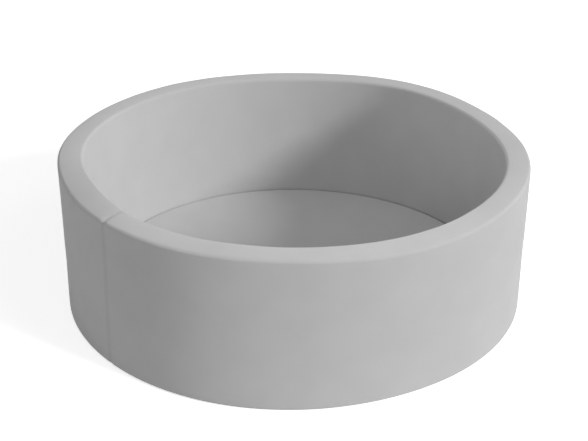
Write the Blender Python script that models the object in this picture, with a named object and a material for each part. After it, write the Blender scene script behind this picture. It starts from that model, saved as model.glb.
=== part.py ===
"""Round foam ball pit: a foam ring and a floor mat inside a sewn cover that zips shut at the back.

Metres, with +Z up. The origin is the middle of the underside, so the pit stands on z = 0. The front
faces -Y and has a plain sewn foot. The zip runs round the lowest band of the wall, at the back.
"""

import math

import bmesh
import bpy
from mathutils import Vector

# Driving dimensions of the pit
OUTER_DIAMETER = 0.900
HEIGHT = 0.295
WALL = 0.045
MAT_THICKNESS = 0.020

# Fabric, and the space kept between pieces that touch
FABRIC = 0.0012
GAP = 0.0003

# Cover
RIM_OUTER_ROUND = 0.010
RIM_INNER_ROUND = 0.005
FOOT_ROUND = 0.0055
HEM = 0.007
FLOOR_SEAM_ROUND = 0.004
FLOOR_SEAM_ALLOWANCE = 0.012
SEAM_AZIMUTH = math.radians(222.9)
SEAM_HALF_WIDTH = 0.0025
SEAM_DEPTH = 0.0009

# Foam strip of the wall, and how far in it is pressed behind the zip
FOAM_BEHIND_ZIP = 0.0135

# Zip, by the length of its chain and the place of its middle line
ZIP_LENGTH = 0.560
ZIP_AZIMUTH = math.radians(90.0)
ZIP_HEIGHT = 0.0165
ZIP_INSET = 0.0095
ZIP_OPENING = 0.0150
TAPE_THICKNESS = 0.0006
TAPE_TAIL = 0.046
LAP = 0.0030
LAP_CLEARANCE = 0.0007
UPPER_LIP = 0.0085
LOWER_LIP = 0.0050

# Teeth, each row on a root band along its tape's edge
TOOTH_PITCH = 0.0040
TOOTH_WIDTH = 0.0016
TOOTH_REACH = 0.0009
TOOTH_TIP_CLEARANCE = 0.0005
TOOTH_THICKNESS = 0.0028
CHAIN_HALF_WIDTH = 0.0035
TEETH_PER_LINK = 4
TOOTH_MIDDLE_SHARE = 0.5
ROW_SHIFT_SHARE = 0.25

# Stops at the two ends of the chain
STOP_LENGTH = 0.0030
STOP_EDGE = 0.0004

# Slider
SLIDER_LENGTH = 0.0160
SLIDER_PLATE = 0.0012
SLIDER_RIM = 0.0012
SLIDER_FLARE = 0.0012
SLIDER_CORNER = 0.0010
SLIDER_EDGE = 0.0004
CHANNEL_CLEARANCE = 0.0003
CHANNEL_SIDE_CLEARANCE = 0.0004
SLOT_CLEARANCE = 0.0004
NECK_LENGTH = 0.0046
NECK_HALF_WIDTH = 0.0012
BAIL_LENGTH = 0.0090
BAIL_WIDTH = 0.0026
BAIL_THICKNESS = 0.0012

# Pull tab on the slider's bail
PULL_LENGTH = 0.0240
PULL_THICKNESS = 0.0016
PULL_WINDOW = 0.0060
PULL_TIP_CORNER = 0.0020
PULL_EDGE = 0.0004
PULL_CLEARANCE = 0.0004
PULL_SIDE_CLEARANCE = 0.0009

# How finely the round shapes are drawn
RING_STEPS = 72
TAPE_STEPS = 32
CORNER_STEPS = 2
RIM_STEPS = 3
CENTRE_SHARE = 0.70
CUT_OVERRUN = 0.001
SAME_PLACE = 0.00001
SMOOTH_BELOW = math.radians(35.0)
BEVEL_ABOVE = math.radians(30.0)

# Places that follow from the sizes of the pit and its cover
OUTER_RADIUS = OUTER_DIAMETER / 2
INNER_RADIUS = OUTER_RADIUS - WALL
UNDER_COVER = FABRIC + GAP
MAT_TOP = UNDER_COVER + MAT_THICKNESS
FLOOR_HEIGHT = MAT_TOP + UNDER_COVER
FLOOR_EDGE_RADIUS = INNER_RADIUS - GAP
FOAM_BOTTOM = 2 * UNDER_COVER

# Places that follow from the sizes of the zip
ZIP_RADIUS = OUTER_RADIUS - ZIP_INSET
LAP_RADIUS = ZIP_RADIUS + TAPE_THICKNESS / 2 + LAP_CLEARANCE + FABRIC
ZIP_HALF_ANGLE = ZIP_LENGTH / ZIP_RADIUS / 2
TAPE_HALF_ANGLE = ZIP_HALF_ANGLE + TAPE_TAIL / ZIP_RADIUS
TAPE_EDGE = CHAIN_HALF_WIDTH + GAP
TAPE_WIDTH = ZIP_HEIGHT - TAPE_EDGE - FABRIC - 2 * GAP
STEP_ANGLE = 2 * math.pi / RING_STEPS
OPEN_HALF_ANGLE = STEP_ANGLE * math.ceil((ZIP_HALF_ANGLE + PULL_LENGTH / ZIP_RADIUS) / STEP_ANGLE)
SHUT_HALF_ANGLE = OPEN_HALF_ANGLE + STEP_ANGLE
SEWN_HALF_ANGLE = SHUT_HALF_ANGLE + 2 * STEP_ANGLE
PRESSED_HALF_ANGLE = SEWN_HALF_ANGLE + STEP_ANGLE

# Places on the slider: x runs to the closed end of the zip, y away from the wall and z up
CHANNEL_HALF_HEIGHT = TOOTH_THICKNESS / 2 + CHANNEL_CLEARANCE
CHANNEL_HALF_WIDTH = CHAIN_HALF_WIDTH + CHANNEL_SIDE_CLEARANCE
SLOT_HALF_HEIGHT = TAPE_THICKNESS / 2 + SLOT_CLEARANCE
SLIDER_HALF_HEIGHT = CHANNEL_HALF_HEIGHT + SLIDER_PLATE
SLIDER_HALF_WIDTH = CHANNEL_HALF_WIDTH + SLIDER_RIM
SLIDER_FRONT = SLIDER_LENGTH / 2
NECK_TIP = SLIDER_FRONT - NECK_LENGTH
PULL_AXIS = SLIDER_HALF_HEIGHT + PULL_CLEARANCE + PULL_THICKNESS / 2
BAIL_TOP = PULL_AXIS + PULL_THICKNESS / 2 + PULL_CLEARANCE + BAIL_THICKNESS
CHAIN_CLOSED_END = ZIP_AZIMUTH - ZIP_HALF_ANGLE
CHAIN_OPEN_END = ZIP_AZIMUTH + ZIP_HALF_ANGLE
SLIDER_AZIMUTH = CHAIN_CLOSED_END + (NECK_TIP - GAP) / ZIP_RADIUS
TOP_STOP_AZIMUTH = SLIDER_AZIMUTH - (NECK_TIP + STOP_LENGTH / 2) / ZIP_RADIUS
BOTTOM_STOP_AZIMUTH = CHAIN_OPEN_END + (GAP + STOP_LENGTH / 2) / ZIP_RADIUS

UP = Vector((0.0, 0.0, 1.0))


def clear_scene():
    """Removes the objects that the scene starts with."""
    for obj in list(bpy.data.objects):
        bpy.data.objects.remove(obj, do_unlink=True)


def surface(name, colour, roughness, metallic=0.0):
    """A material with this colour, roughness and metallic value."""
    material = bpy.data.materials.new(name)
    material.use_nodes = True
    shader = material.node_tree.nodes["Principled BSDF"]
    shader.inputs["Base Color"].default_value = (*colour, 1.0)
    shader.inputs["Roughness"].default_value = roughness
    shader.inputs["Metallic"].default_value = metallic
    material.diffuse_color = (*colour, 1.0)
    return material


def add_object(name, bm, material):
    """An object of this name from the bmesh, shaded smooth with its sharp edges kept."""
    mesh = bpy.data.meshes.new(name)
    bm.to_mesh(mesh)
    bm.free()
    mesh.materials.append(material)
    mesh.shade_smooth()
    mesh.set_sharp_from_angle(angle=SMOOTH_BELOW)
    obj = bpy.data.objects.new(name, mesh)
    bpy.context.scene.collection.objects.link(obj)
    return obj


def thicken(obj, thickness):
    """Gives a sheet its thickness, on the side away from its right side."""
    solidify = obj.modifiers.new("Thickness", "SOLIDIFY")
    solidify.thickness = thickness
    solidify.offset = -1.0
    solidify.use_even_offset = True


def combine(obj, other, operation):
    """Joins or cuts an object by a helper, which is left out of the model."""
    other.hide_render = True
    other.display_type = "WIRE"
    other.parent = obj.parent
    boolean = obj.modifiers.new(other.name, "BOOLEAN")
    boolean.operation = operation
    boolean.object = other


def on_ring(radius, height, azimuth):
    """The point at this radius, height and azimuth about the pit's axis."""
    return Vector((radius * math.cos(azimuth), radius * math.sin(azimuth), height))


def quarter(centre, first, last, steps):
    """Points of a quarter of an ellipse, from centre + first to centre + last."""
    points = []
    for step in range(steps + 1):
        angle = math.pi / 2 * step / steps
        points.append(
            tuple(c + f * math.cos(angle) + l * math.sin(angle) for c, f, l in zip(centre, first, last))
        )
    return points


def blend(first, last, share):
    """The line that lies this share of the way from one line to another."""
    return [tuple(a + (b - a) * share for a, b in zip(p, q)) for p, q in zip(first, last)]


def smooth_share(value, start, end):
    """How far value is on the way from start to end, from 0 to 1, with soft ends."""
    share = min(max((value - start) / (end - start), 0.0), 1.0)
    return share * share * (3 - 2 * share)


def away_from_zip(azimuth):
    """The angle between this azimuth and the middle of the zip."""
    turn = 2 * math.pi
    return abs((azimuth - ZIP_AZIMUTH + math.pi) % turn - math.pi)


def spun(line, start=0.0, sweep=2 * math.pi, steps=RING_STEPS, closed=False):
    """A bmesh of the line of (radius, height) points, turned about the pit's axis."""
    bm = bmesh.new()
    verts = [bm.verts.new(on_ring(radius, height, start)) for radius, height in line]
    followers = verts[1:] + verts[:1] if closed else verts[1:]
    edges = [bm.edges.new(pair) for pair in zip(verts, followers)]
    whole = math.isclose(sweep, 2 * math.pi)
    bmesh.ops.spin(bm, geom=verts + edges, axis=UP, angle=sweep, steps=steps, use_merge=whole)
    return bm


def follow(bm, plain, line_at):
    """Moves each vertex of a spun line to its place on the line that line_at gives at its azimuth."""
    for vert in bm.verts:
        radius = vert.co.xy.length
        azimuth = math.atan2(vert.co.y, vert.co.x)
        index = min(
            range(len(plain)),
            key=lambda i: math.hypot(plain[i][0] - radius, plain[i][1] - vert.co.z),
        )
        vert.co = on_ring(*line_at(azimuth)[index], azimuth)


def fill_inside(bm, radius):
    """Closes each open loop that lies within this radius."""
    limit = radius + SAME_PLACE
    edges = [e for e in bm.edges if e.is_boundary and all(v.co.xy.length < limit for v in e.verts)]
    bmesh.ops.holes_fill(bm, edges=edges, sides=0)


def face_out(bm, direction):
    """Turns all faces so that the one furthest in this direction faces that way."""
    bmesh.ops.recalc_face_normals(bm, faces=bm.faces)
    furthest = max(bm.faces, key=lambda face: face.calc_center_median().dot(direction))
    if furthest.normal.dot(direction) < 0:
        bmesh.ops.reverse_faces(bm, faces=bm.faces)


def draw_in_seam(bm, depth):
    """Draws the surface in by this depth along the cross seam, as a narrow valley round the section."""
    outward = on_ring(1.0, 0.0, SEAM_AZIMUTH)
    for side in (-1, 0, 1):
        azimuth = SEAM_AZIMUTH + side * SEAM_HALF_WIDTH / OUTER_RADIUS
        faces = [face for face in bm.faces if face.calc_center_median().dot(outward) > 0]
        edges = {edge for face in faces for edge in face.edges}
        verts = {vert for face in faces for vert in face.verts}
        across = UP.cross(on_ring(1.0, 0.0, azimuth))
        bmesh.ops.bisect_plane(bm, geom=[*verts, *edges, *faces], plane_no=across)
    bm.normal_update()
    across = UP.cross(outward)
    on_seam = [v for v in bm.verts if abs(v.co.dot(across)) < SAME_PLACE and v.co.dot(outward) > 0]
    shifts = [(vert, vert.normal * depth) for vert in on_seam]
    for vert, shift in shifts:
        vert.co -= shift


def extruded(outline, low, high, along):
    """A bmesh of a flat outline, drawn out along the given axis (0, 1 or 2) from low to high."""
    bm = bmesh.new()
    verts = []
    for point in outline:
        place = list(point)
        place.insert(along, low)
        verts.append(bm.verts.new(place))
    face = bm.faces.new(verts)
    raised = bmesh.ops.extrude_face_region(bm, geom=[face], use_keep_orig=True)["geom"]
    shift = Vector((0.0, 0.0, 0.0))
    shift[along] = high - low
    bmesh.ops.translate(bm, verts=[v for v in raised if isinstance(v, bmesh.types.BMVert)], vec=shift)
    bmesh.ops.recalc_face_normals(bm, faces=bm.faces)
    return bm


def mirrored(outline):
    """The outline's points, then the same points mirrored over x, so that they close a shape."""
    return outline + [(x, -z) for x, z in reversed(outline)]


def bevel_all(bm, width):
    """Breaks the outer edges of a small hard piece."""
    edges = [e for e in bm.edges if e.calc_face_angle(0.0) > BEVEL_ABOVE]
    bmesh.ops.bevel(bm, geom=edges, offset=width, segments=1, profile=0.5, affect="EDGES")


def sewn_foot():
    """The sleeve's foot where it is sewn: round the foam's edge and in under it."""
    turn = OUTER_RADIUS - FOOT_ROUND
    corner = quarter((turn, UNDER_COVER + FOOT_ROUND), (0.0, -FOOT_ROUND), (FOOT_ROUND, 0.0), CORNER_STEPS)
    return [(turn - HEM, UNDER_COVER), *corner]


def zipped_foot(edge):
    """The sleeve's foot above the zip: flat on the tape from its edge up, then out to the wall."""
    lap_top = edge + LAP
    centre = (LAP_RADIUS, lap_top + UPPER_LIP)
    out = (OUTER_RADIUS - LAP_RADIUS, 0.0)
    return [(LAP_RADIUS, edge), *quarter(centre, (0.0, -UPPER_LIP), out, CORNER_STEPS)]


def opening_half_height(azimuth):
    """Half the height between the cover's two edges along the zip, which meet past its ends."""
    share = smooth_share(away_from_zip(azimuth), OPEN_HALF_ANGLE, SHUT_HALF_ANGLE)
    return ZIP_OPENING / 2 + (GAP - ZIP_OPENING / 2) * share


def sewn_share(azimuth):
    """0 along the zip, 1 where the foot is sewn, and between them past the zip's ends."""
    return smooth_share(away_from_zip(azimuth), SHUT_HALF_ANGLE, SEWN_HALF_ANGLE)


def sleeve_foot(azimuth):
    """The sleeve's foot at this azimuth."""
    zipped = zipped_foot(ZIP_HEIGHT + opening_half_height(azimuth))
    return blend(zipped, sewn_foot(), sewn_share(azimuth))


def sleeve_top():
    """The sleeve from the outer wall over the rim to the inner wall's sewn edge."""
    outer = (OUTER_RADIUS - RIM_OUTER_ROUND, HEIGHT - RIM_OUTER_ROUND)
    inner = (INNER_RADIUS + RIM_INNER_ROUND, HEIGHT - RIM_INNER_ROUND)
    return [
        *quarter(outer, (RIM_OUTER_ROUND, 0.0), (0.0, RIM_OUTER_ROUND), RIM_STEPS),
        *quarter(inner, (0.0, RIM_INNER_ROUND), (-RIM_INNER_ROUND, 0.0), CORNER_STEPS),
        (INNER_RADIUS, FLOOR_HEIGHT - FLOOR_SEAM_ALLOWANCE),
    ]


def make_cover_sleeve():
    """The outer wall, rim and inner wall, in one panel with one cross seam."""
    plain = sewn_foot() + sleeve_top()
    bm = spun(plain)
    follow(bm, plain, lambda azimuth: sleeve_foot(azimuth) + sleeve_top())
    face_out(bm, Vector((1.0, 0.0, 0.0)))
    draw_in_seam(bm, SEAM_DEPTH)
    sleeve = add_object("cover_sleeve", bm, surface("cover_fabric", (0.50, 0.50, 0.50), 0.90))
    thicken(sleeve, FABRIC)


def underside_lip(edge):
    """The underside panel's edge below the zip: a rounded bead, then flat on the tape up to its edge."""
    half = (edge - LAP) / 2
    centre = (LAP_RADIUS, half)
    lower = quarter(centre, (0.0, -half), (LOWER_LIP, 0.0), CORNER_STEPS)
    upper = quarter(centre, (LOWER_LIP, 0.0), (0.0, half), CORNER_STEPS)
    return [*lower, *upper[1:], (LAP_RADIUS, edge)]


def underside_hem():
    """The underside panel's edge where it is sewn flat under the sleeve's hem."""
    outer = OUTER_RADIUS - FOOT_ROUND
    count = len(underside_lip(ZIP_HEIGHT))
    return [(outer - HEM * (count - 1 - index) / (count - 1), 0.0) for index in range(count)]


def underside_edge(azimuth):
    """The underside panel's edge at this azimuth."""
    lip = underside_lip(ZIP_HEIGHT - opening_half_height(azimuth))
    return blend(lip, underside_hem(), sewn_share(azimuth))


def make_cover_underside():
    """The disc that the pit stands on."""
    centre = (OUTER_RADIUS * CENTRE_SHARE, 0.0)
    plain = [centre, *underside_hem()]
    bm = spun(plain)
    follow(bm, plain, lambda azimuth: [centre, *underside_edge(azimuth)])
    fill_inside(bm, centre[0])
    face_out(bm, -UP)
    underside = add_object("cover_underside", bm, surface("underside_fabric", (0.44, 0.44, 0.44), 0.92))
    thicken(underside, FABRIC)


def make_cover_floor():
    """The disc inside the pit, with its edge turned down along the foot of the inner wall."""
    turn = FLOOR_SEAM_ROUND
    centre = (FLOOR_EDGE_RADIUS - turn, FLOOR_HEIGHT - turn)
    line = [
        (FLOOR_EDGE_RADIUS * CENTRE_SHARE, FLOOR_HEIGHT),
        *quarter(centre, (0.0, turn), (turn, 0.0), CORNER_STEPS),
        (FLOOR_EDGE_RADIUS, FLOOR_HEIGHT - FLOOR_SEAM_ALLOWANCE),
    ]
    bm = spun(line)
    fill_inside(bm, line[0][0])
    face_out(bm, UP)
    floor = add_object("cover_floor", bm, surface("floor_fabric", (0.50, 0.50, 0.50), 0.90))
    thicken(floor, FABRIC)


def foam_line(azimuth):
    """The wall foam's section at this azimuth, pressed in behind the zip."""
    outer = OUTER_RADIUS - UNDER_COVER
    inner = INNER_RADIUS + UNDER_COVER
    top = HEIGHT - UNDER_COVER
    foot = FOOT_ROUND - UNDER_COVER
    rim_outer = RIM_OUTER_ROUND - UNDER_COVER
    rim_inner = RIM_INNER_ROUND - UNDER_COVER
    pressed = OUTER_RADIUS - FOAM_BEHIND_ZIP
    tape_top = ZIP_HEIGHT + TAPE_EDGE + TAPE_WIDTH + GAP
    lip_top = ZIP_HEIGHT + ZIP_OPENING / 2 + LAP + UPPER_LIP
    free_foot = quarter((outer - foot, FOAM_BOTTOM + foot), (0.0, -foot), (foot, 0.0), CORNER_STEPS)
    free_foot.append((outer, lip_top + LAP))
    pressed_foot = [(pressed, FOAM_BOTTOM), (pressed, ZIP_HEIGHT), (pressed, tape_top), free_foot[-1]]
    share = smooth_share(away_from_zip(azimuth), SEWN_HALF_ANGLE, PRESSED_HALF_ANGLE)
    return [
        (inner, FOAM_BOTTOM),
        *blend(pressed_foot, free_foot, share),
        *quarter((outer - rim_outer, top - rim_outer), (rim_outer, 0.0), (0.0, rim_outer), RIM_STEPS),
        *quarter((inner + rim_inner, top - rim_inner), (0.0, rim_inner), (-rim_inner, 0.0), CORNER_STEPS),
    ]


def make_foam_wall():
    """The foam strip, bent into a ring so that its two ends butt at +X."""
    plain = foam_line(ZIP_AZIMUTH + math.pi)
    joint = GAP / INNER_RADIUS
    sweep = 2 * math.pi - joint
    bm = spun(plain, start=joint / 2, sweep=sweep, closed=True)
    bmesh.ops.holes_fill(bm, edges=[e for e in bm.edges if e.is_boundary], sides=0)
    follow(bm, plain, foam_line)
    bmesh.ops.recalc_face_normals(bm, faces=bm.faces)
    draw_in_seam(bm, SEAM_DEPTH + GAP)
    add_object("foam_wall", bm, surface("wall_foam", (0.86, 0.84, 0.76), 0.95))


def make_foam_mat():
    """The foam disc under the floor panel."""
    radius = FLOOR_EDGE_RADIUS - UNDER_COVER
    turn = FLOOR_SEAM_ROUND - UNDER_COVER
    centre = radius * CENTRE_SHARE
    line = [
        (centre, UNDER_COVER),
        (radius, UNDER_COVER),
        *quarter((radius - turn, MAT_TOP - turn), (turn, 0.0), (0.0, turn), CORNER_STEPS),
        (centre, MAT_TOP),
    ]
    bm = spun(line)
    fill_inside(bm, centre)
    bmesh.ops.recalc_face_normals(bm, faces=bm.faces)
    add_object("foam_mat", bm, surface("mat_foam", (0.86, 0.84, 0.76), 0.95))


def make_zip_tape(name, side):
    """One tape of the zip, above (side 1) or below (side -1) its chain."""
    near = ZIP_HEIGHT + side * TAPE_EDGE
    far = ZIP_HEIGHT + side * (TAPE_EDGE + TAPE_WIDTH)
    back = ZIP_RADIUS - TAPE_THICKNESS / 2
    front = ZIP_RADIUS + TAPE_THICKNESS / 2
    line = [(back, near), (front, near), (front, far), (back, far)]
    start = ZIP_AZIMUTH - TAPE_HALF_ANGLE
    bm = spun(line, start=start, sweep=2 * TAPE_HALF_ANGLE, steps=TAPE_STEPS, closed=True)
    bmesh.ops.holes_fill(bm, edges=[e for e in bm.edges if e.is_boundary], sides=0)
    bmesh.ops.recalc_face_normals(bm, faces=bm.faces)
    add_object(name, bm, surface(name, (0.40, 0.40, 0.40), 0.85))


def link_outline(start, end, side):
    """One link of a row of teeth: (length along the chain, height over its middle line) points."""
    band = TOOTH_REACH + TOOTH_TIP_CLEARANCE
    outline = [(start, CHAIN_HALF_WIDTH), (start, band)]
    for index in range(TEETH_PER_LINK):
        middle = start + TOOTH_PITCH * (index + TOOTH_MIDDLE_SHARE + side * ROW_SHIFT_SHARE)
        low = middle - TOOTH_WIDTH / 2
        high = middle + TOOTH_WIDTH / 2
        outline += [(low, band), (low, -TOOTH_REACH), (high, -TOOTH_REACH), (high, band)]
    return outline + [(end, band), (end, CHAIN_HALF_WIDTH)]


def make_zip_teeth(name, side):
    """One row of teeth, from above (side 1) or below (side -1), which mesh with the other row."""
    bm = bmesh.new()
    radius = ZIP_RADIUS + TOOTH_THICKNESS / 2
    links = round(ZIP_LENGTH / TOOTH_PITCH / TEETH_PER_LINK)
    link = TOOTH_PITCH * TEETH_PER_LINK
    for index in range(links):
        start = link * index
        first = on_ring(radius, ZIP_HEIGHT, CHAIN_CLOSED_END + 2 * ZIP_HALF_ANGLE * index / links)
        last = on_ring(radius, ZIP_HEIGHT, CHAIN_CLOSED_END + 2 * ZIP_HALF_ANGLE * (index + 1) / links)
        verts = []
        for length, height in link_outline(start, start + link, side):
            place = first.lerp(last, (length - start) / link) + UP * (side * height)
            verts.append(bm.verts.new(place))
        bm.faces.new(verts)
    bmesh.ops.remove_doubles(bm, verts=bm.verts, dist=SAME_PLACE)
    face_out(bm, on_ring(1.0, 0.0, ZIP_AZIMUTH))
    teeth = add_object(name, bm, surface(name, (0.42, 0.42, 0.42), 0.45))
    thicken(teeth, TOOTH_THICKNESS)


def make_stop(name, azimuth, low, high):
    """A stop on the chain's line at this azimuth, from low to high over the middle line."""
    half_length = STOP_LENGTH / 2
    outline = [(-half_length, low), (half_length, low), (half_length, high), (-half_length, high)]
    bm = extruded(outline, -TOOTH_THICKNESS / 2, TOOTH_THICKNESS / 2, along=1)
    bevel_all(bm, STOP_EDGE)
    stop = add_object(name, bm, surface(name, (0.42, 0.42, 0.42), 0.45))
    stop.location = on_ring(ZIP_RADIUS, ZIP_HEIGHT, azimuth)
    stop.rotation_euler.z = azimuth - math.pi / 2


def slider_outline():
    """Half of the slider's plan, from its narrow end to its wide end."""
    wide = SLIDER_HALF_WIDTH + SLIDER_FLARE
    return [
        (-SLIDER_FRONT, SLIDER_HALF_WIDTH - SLIDER_CORNER),
        (-SLIDER_FRONT + SLIDER_CORNER, SLIDER_HALF_WIDTH),
        (0.0, SLIDER_HALF_WIDTH),
        (NECK_TIP, wide),
        (SLIDER_FRONT - SLIDER_CORNER, wide),
        (SLIDER_FRONT, wide - SLIDER_CORNER),
    ]


def channel_outline():
    """Half of the channel's plan, which parts round the neck at the wide end."""
    front = SLIDER_FRONT + CUT_OVERRUN
    return [
        (-front, CHANNEL_HALF_WIDTH),
        (0.0, CHANNEL_HALF_WIDTH),
        (NECK_TIP, CHANNEL_HALF_WIDTH + SLIDER_FLARE),
        (front, CHANNEL_HALF_WIDTH + SLIDER_FLARE),
        (front, NECK_HALF_WIDTH),
        (NECK_TIP + 2 * NECK_HALF_WIDTH, NECK_HALF_WIDTH),
    ]


def bail_outline():
    """The bail's side view, an arch that stands on the slider's plate."""
    foot = SLIDER_HALF_HEIGHT - SLIDER_PLATE / 2
    half = BAIL_LENGTH / 2
    corner = BAIL_THICKNESS
    inside = half - BAIL_THICKNESS
    ceiling = BAIL_TOP - BAIL_THICKNESS
    outer = [(half, foot), (half, BAIL_TOP - corner), (half - corner, BAIL_TOP)]
    inner = [(inside, foot), (inside, ceiling - corner / 2), (inside - corner / 2, ceiling)]
    left_outer = [(-x, y) for x, y in reversed(outer)]
    left_inner = [(-x, y) for x, y in inner]
    return outer + left_outer + left_inner + inner[::-1]


def make_zip_slider(parent):
    """The slider: two plates joined by a neck, with rims that leave a slot for each tape, and a bail."""
    bm = extruded(mirrored(slider_outline()), -SLIDER_HALF_HEIGHT, SLIDER_HALF_HEIGHT, along=1)
    bevel_all(bm, SLIDER_EDGE)
    slider = add_object("zip_slider", bm, surface("slider_metal", (0.45, 0.45, 0.46), 0.35, 0.9))
    slider.parent = parent
    helpers = surface("slider_helpers", (0.45, 0.45, 0.46), 0.35)
    plan = channel_outline() + [(NECK_TIP, 0.0)]
    plan += [(x, -z) for x, z in reversed(channel_outline())]
    channel = add_object(
        "cut_channel", extruded(plan, -CHANNEL_HALF_HEIGHT, CHANNEL_HALF_HEIGHT, along=1), helpers
    )
    combine(slider, channel, "DIFFERENCE")
    ends = SLIDER_FRONT + CUT_OVERRUN
    near = CHANNEL_HALF_WIDTH - CUT_OVERRUN
    far = SLIDER_HALF_WIDTH + SLIDER_FLARE + CUT_OVERRUN
    for name, side in (("cut_slot_upper", 1), ("cut_slot_lower", -1)):
        plan = [(-ends, side * near), (ends, side * near), (ends, side * far), (-ends, side * far)]
        slot = add_object(name, extruded(plan, -SLOT_HALF_HEIGHT, SLOT_HALF_HEIGHT, along=1), helpers)
        combine(slider, slot, "DIFFERENCE")
    arch = extruded(bail_outline(), -BAIL_WIDTH / 2, BAIL_WIDTH / 2, along=2)
    bail = add_object("join_bail", arch, helpers)
    combine(slider, bail, "UNION")
    for piece in (slider, *(m.object for m in slider.modifiers)):
        piece.location = (0.0, ZIP_RADIUS, ZIP_HEIGHT)


def make_zip_pull(parent):
    """The pull tab: a ring round the bail's arch and a tapered plate to hold. It lies over the chain."""
    arm = PULL_THICKNESS
    bar = PULL_THICKNESS / 2
    half_window = BAIL_WIDTH / 2 + PULL_SIDE_CLEARANCE
    half = half_window + arm
    ring_end = bar + PULL_WINDOW + arm
    ring = [(bar, half), (bar, -half), (-ring_end, -half), (-ring_end, half)]
    tip = [(-PULL_LENGTH + PULL_TIP_CORNER, half - PULL_EDGE), (-PULL_LENGTH, half - PULL_TIP_CORNER)]
    bm = bmesh.new()
    corners = [bm.verts.new((x, -PULL_THICKNESS / 2, z)) for x, z in ring]
    ends = [bm.verts.new((x, -PULL_THICKNESS / 2, z)) for x, z in mirrored(tip)]
    ring_face = bm.faces.new(corners)
    bm.faces.new([corners[3], corners[2], *reversed(ends)])
    bm.normal_update()
    bmesh.ops.inset_region(bm, faces=[ring_face], thickness=arm, use_boundary=True, use_even_offset=True)
    bmesh.ops.delete(bm, geom=[ring_face], context="FACES")
    raised = bmesh.ops.extrude_face_region(bm, geom=list(bm.faces), use_keep_orig=True)["geom"]
    moved = [v for v in raised if isinstance(v, bmesh.types.BMVert)]
    bmesh.ops.translate(bm, verts=moved, vec=(0.0, PULL_THICKNESS, 0.0))
    bmesh.ops.recalc_face_normals(bm, faces=bm.faces)
    bevel_all(bm, PULL_EDGE)
    pull = add_object("zip_pull", bm, surface("pull_metal", (0.45, 0.45, 0.46), 0.35, 0.9))
    pull.parent = parent
    pull.location = (0.0, ZIP_RADIUS + PULL_AXIS, ZIP_HEIGHT)


def make_zip():
    """The zip: two tapes with their teeth, the stops, and the slider with its pull."""
    make_zip_tape("zip_tape_upper", 1)
    make_zip_tape("zip_tape_lower", -1)
    make_zip_teeth("zip_teeth_upper", 1)
    make_zip_teeth("zip_teeth_lower", -1)
    stop_side = NECK_HALF_WIDTH + CHANNEL_SIDE_CLEARANCE
    make_stop("zip_top_stop_upper", TOP_STOP_AZIMUTH, stop_side, CHAIN_HALF_WIDTH)
    make_stop("zip_top_stop_lower", TOP_STOP_AZIMUTH, -CHAIN_HALF_WIDTH, -stop_side)
    make_stop("zip_bottom_stop", BOTTOM_STOP_AZIMUTH, -CHAIN_HALF_WIDTH, CHAIN_HALF_WIDTH)
    travel = bpy.data.objects.new("zip_travel_axis", None)
    travel.rotation_euler.z = SLIDER_AZIMUTH - math.pi / 2
    bpy.context.scene.collection.objects.link(travel)
    make_zip_slider(travel)
    make_zip_pull(travel)


def main():
    """Builds the whole pit."""
    clear_scene()
    make_foam_wall()
    make_foam_mat()
    make_cover_sleeve()
    make_cover_floor()
    make_cover_underside()
    make_zip()


main()
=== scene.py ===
"""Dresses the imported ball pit: a foam ring and a mat in a zipped grey cover, in a plain pale studio.

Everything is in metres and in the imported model's frame: +Z up, the front towards -Y and the zip at +Y.
A fabric piece is spun from a fine line of its section, drawn to its zip and its seams, and then
settled: moved a little out of the true ring, as soft foam in a stretched cover is.
"""

import logging
import math
from dataclasses import dataclass
from enum import Enum
from typing import Any, Callable, Sequence

import bmesh
import bpy
import numpy as np
from mathutils import Matrix, Vector, noise

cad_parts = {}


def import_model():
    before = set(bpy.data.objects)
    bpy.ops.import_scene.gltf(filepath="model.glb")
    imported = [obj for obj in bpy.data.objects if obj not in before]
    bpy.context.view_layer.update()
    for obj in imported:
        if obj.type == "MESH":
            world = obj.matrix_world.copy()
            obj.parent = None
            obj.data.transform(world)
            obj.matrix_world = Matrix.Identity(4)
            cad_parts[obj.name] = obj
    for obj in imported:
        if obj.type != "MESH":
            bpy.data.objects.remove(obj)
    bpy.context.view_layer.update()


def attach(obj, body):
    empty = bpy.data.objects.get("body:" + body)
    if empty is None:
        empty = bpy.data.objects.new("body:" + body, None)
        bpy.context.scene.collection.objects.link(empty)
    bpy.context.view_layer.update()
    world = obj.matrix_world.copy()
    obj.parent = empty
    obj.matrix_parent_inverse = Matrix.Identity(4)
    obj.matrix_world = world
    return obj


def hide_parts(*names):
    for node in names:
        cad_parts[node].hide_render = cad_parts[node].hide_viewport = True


LOG = logging.getLogger("ball_pit")
UP = Vector((0.0, 0.0, 1.0))
TURN = 2 * math.pi
SAME_PLACE = 0.000001
SHARP_ABOVE = math.radians(38.0)
SQUARE_ON = 0.99
LAMP_TARGET = Vector((0.0, 0.0, 0.2))
CLOTH_UV = "cloth"

Point = tuple[float, float]
Line = list[Point]
Span = tuple[float, float]
Place = tuple[float, float, float]
Colour = tuple[float, float, float]
Cut = tuple[bmesh.types.BMesh, str]
Section = Callable[[float], Line]
Shift = Callable[[Vector], float]


class Body(Enum):
    """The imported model's bodies."""

    PIT = "pit"
    SLIDER = "slider"
    PULL = "pull"


class Slot(Enum):
    """The record's material slots."""

    FOAM = "foam"
    COVER = "cover_fabric"
    UNDERSIDE = "underside_fabric"
    TAPE = "zip_tape"
    TEETH = "zip_teeth"
    SLIDER = "zip_slider"


class Side(Enum):
    """The zip's two halves, by the sign of their height over its middle line."""

    UPPER = 1
    LOWER = -1

    @property
    def word(self) -> str:
        """The side's name in small letters."""
        return self.name.lower()


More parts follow.
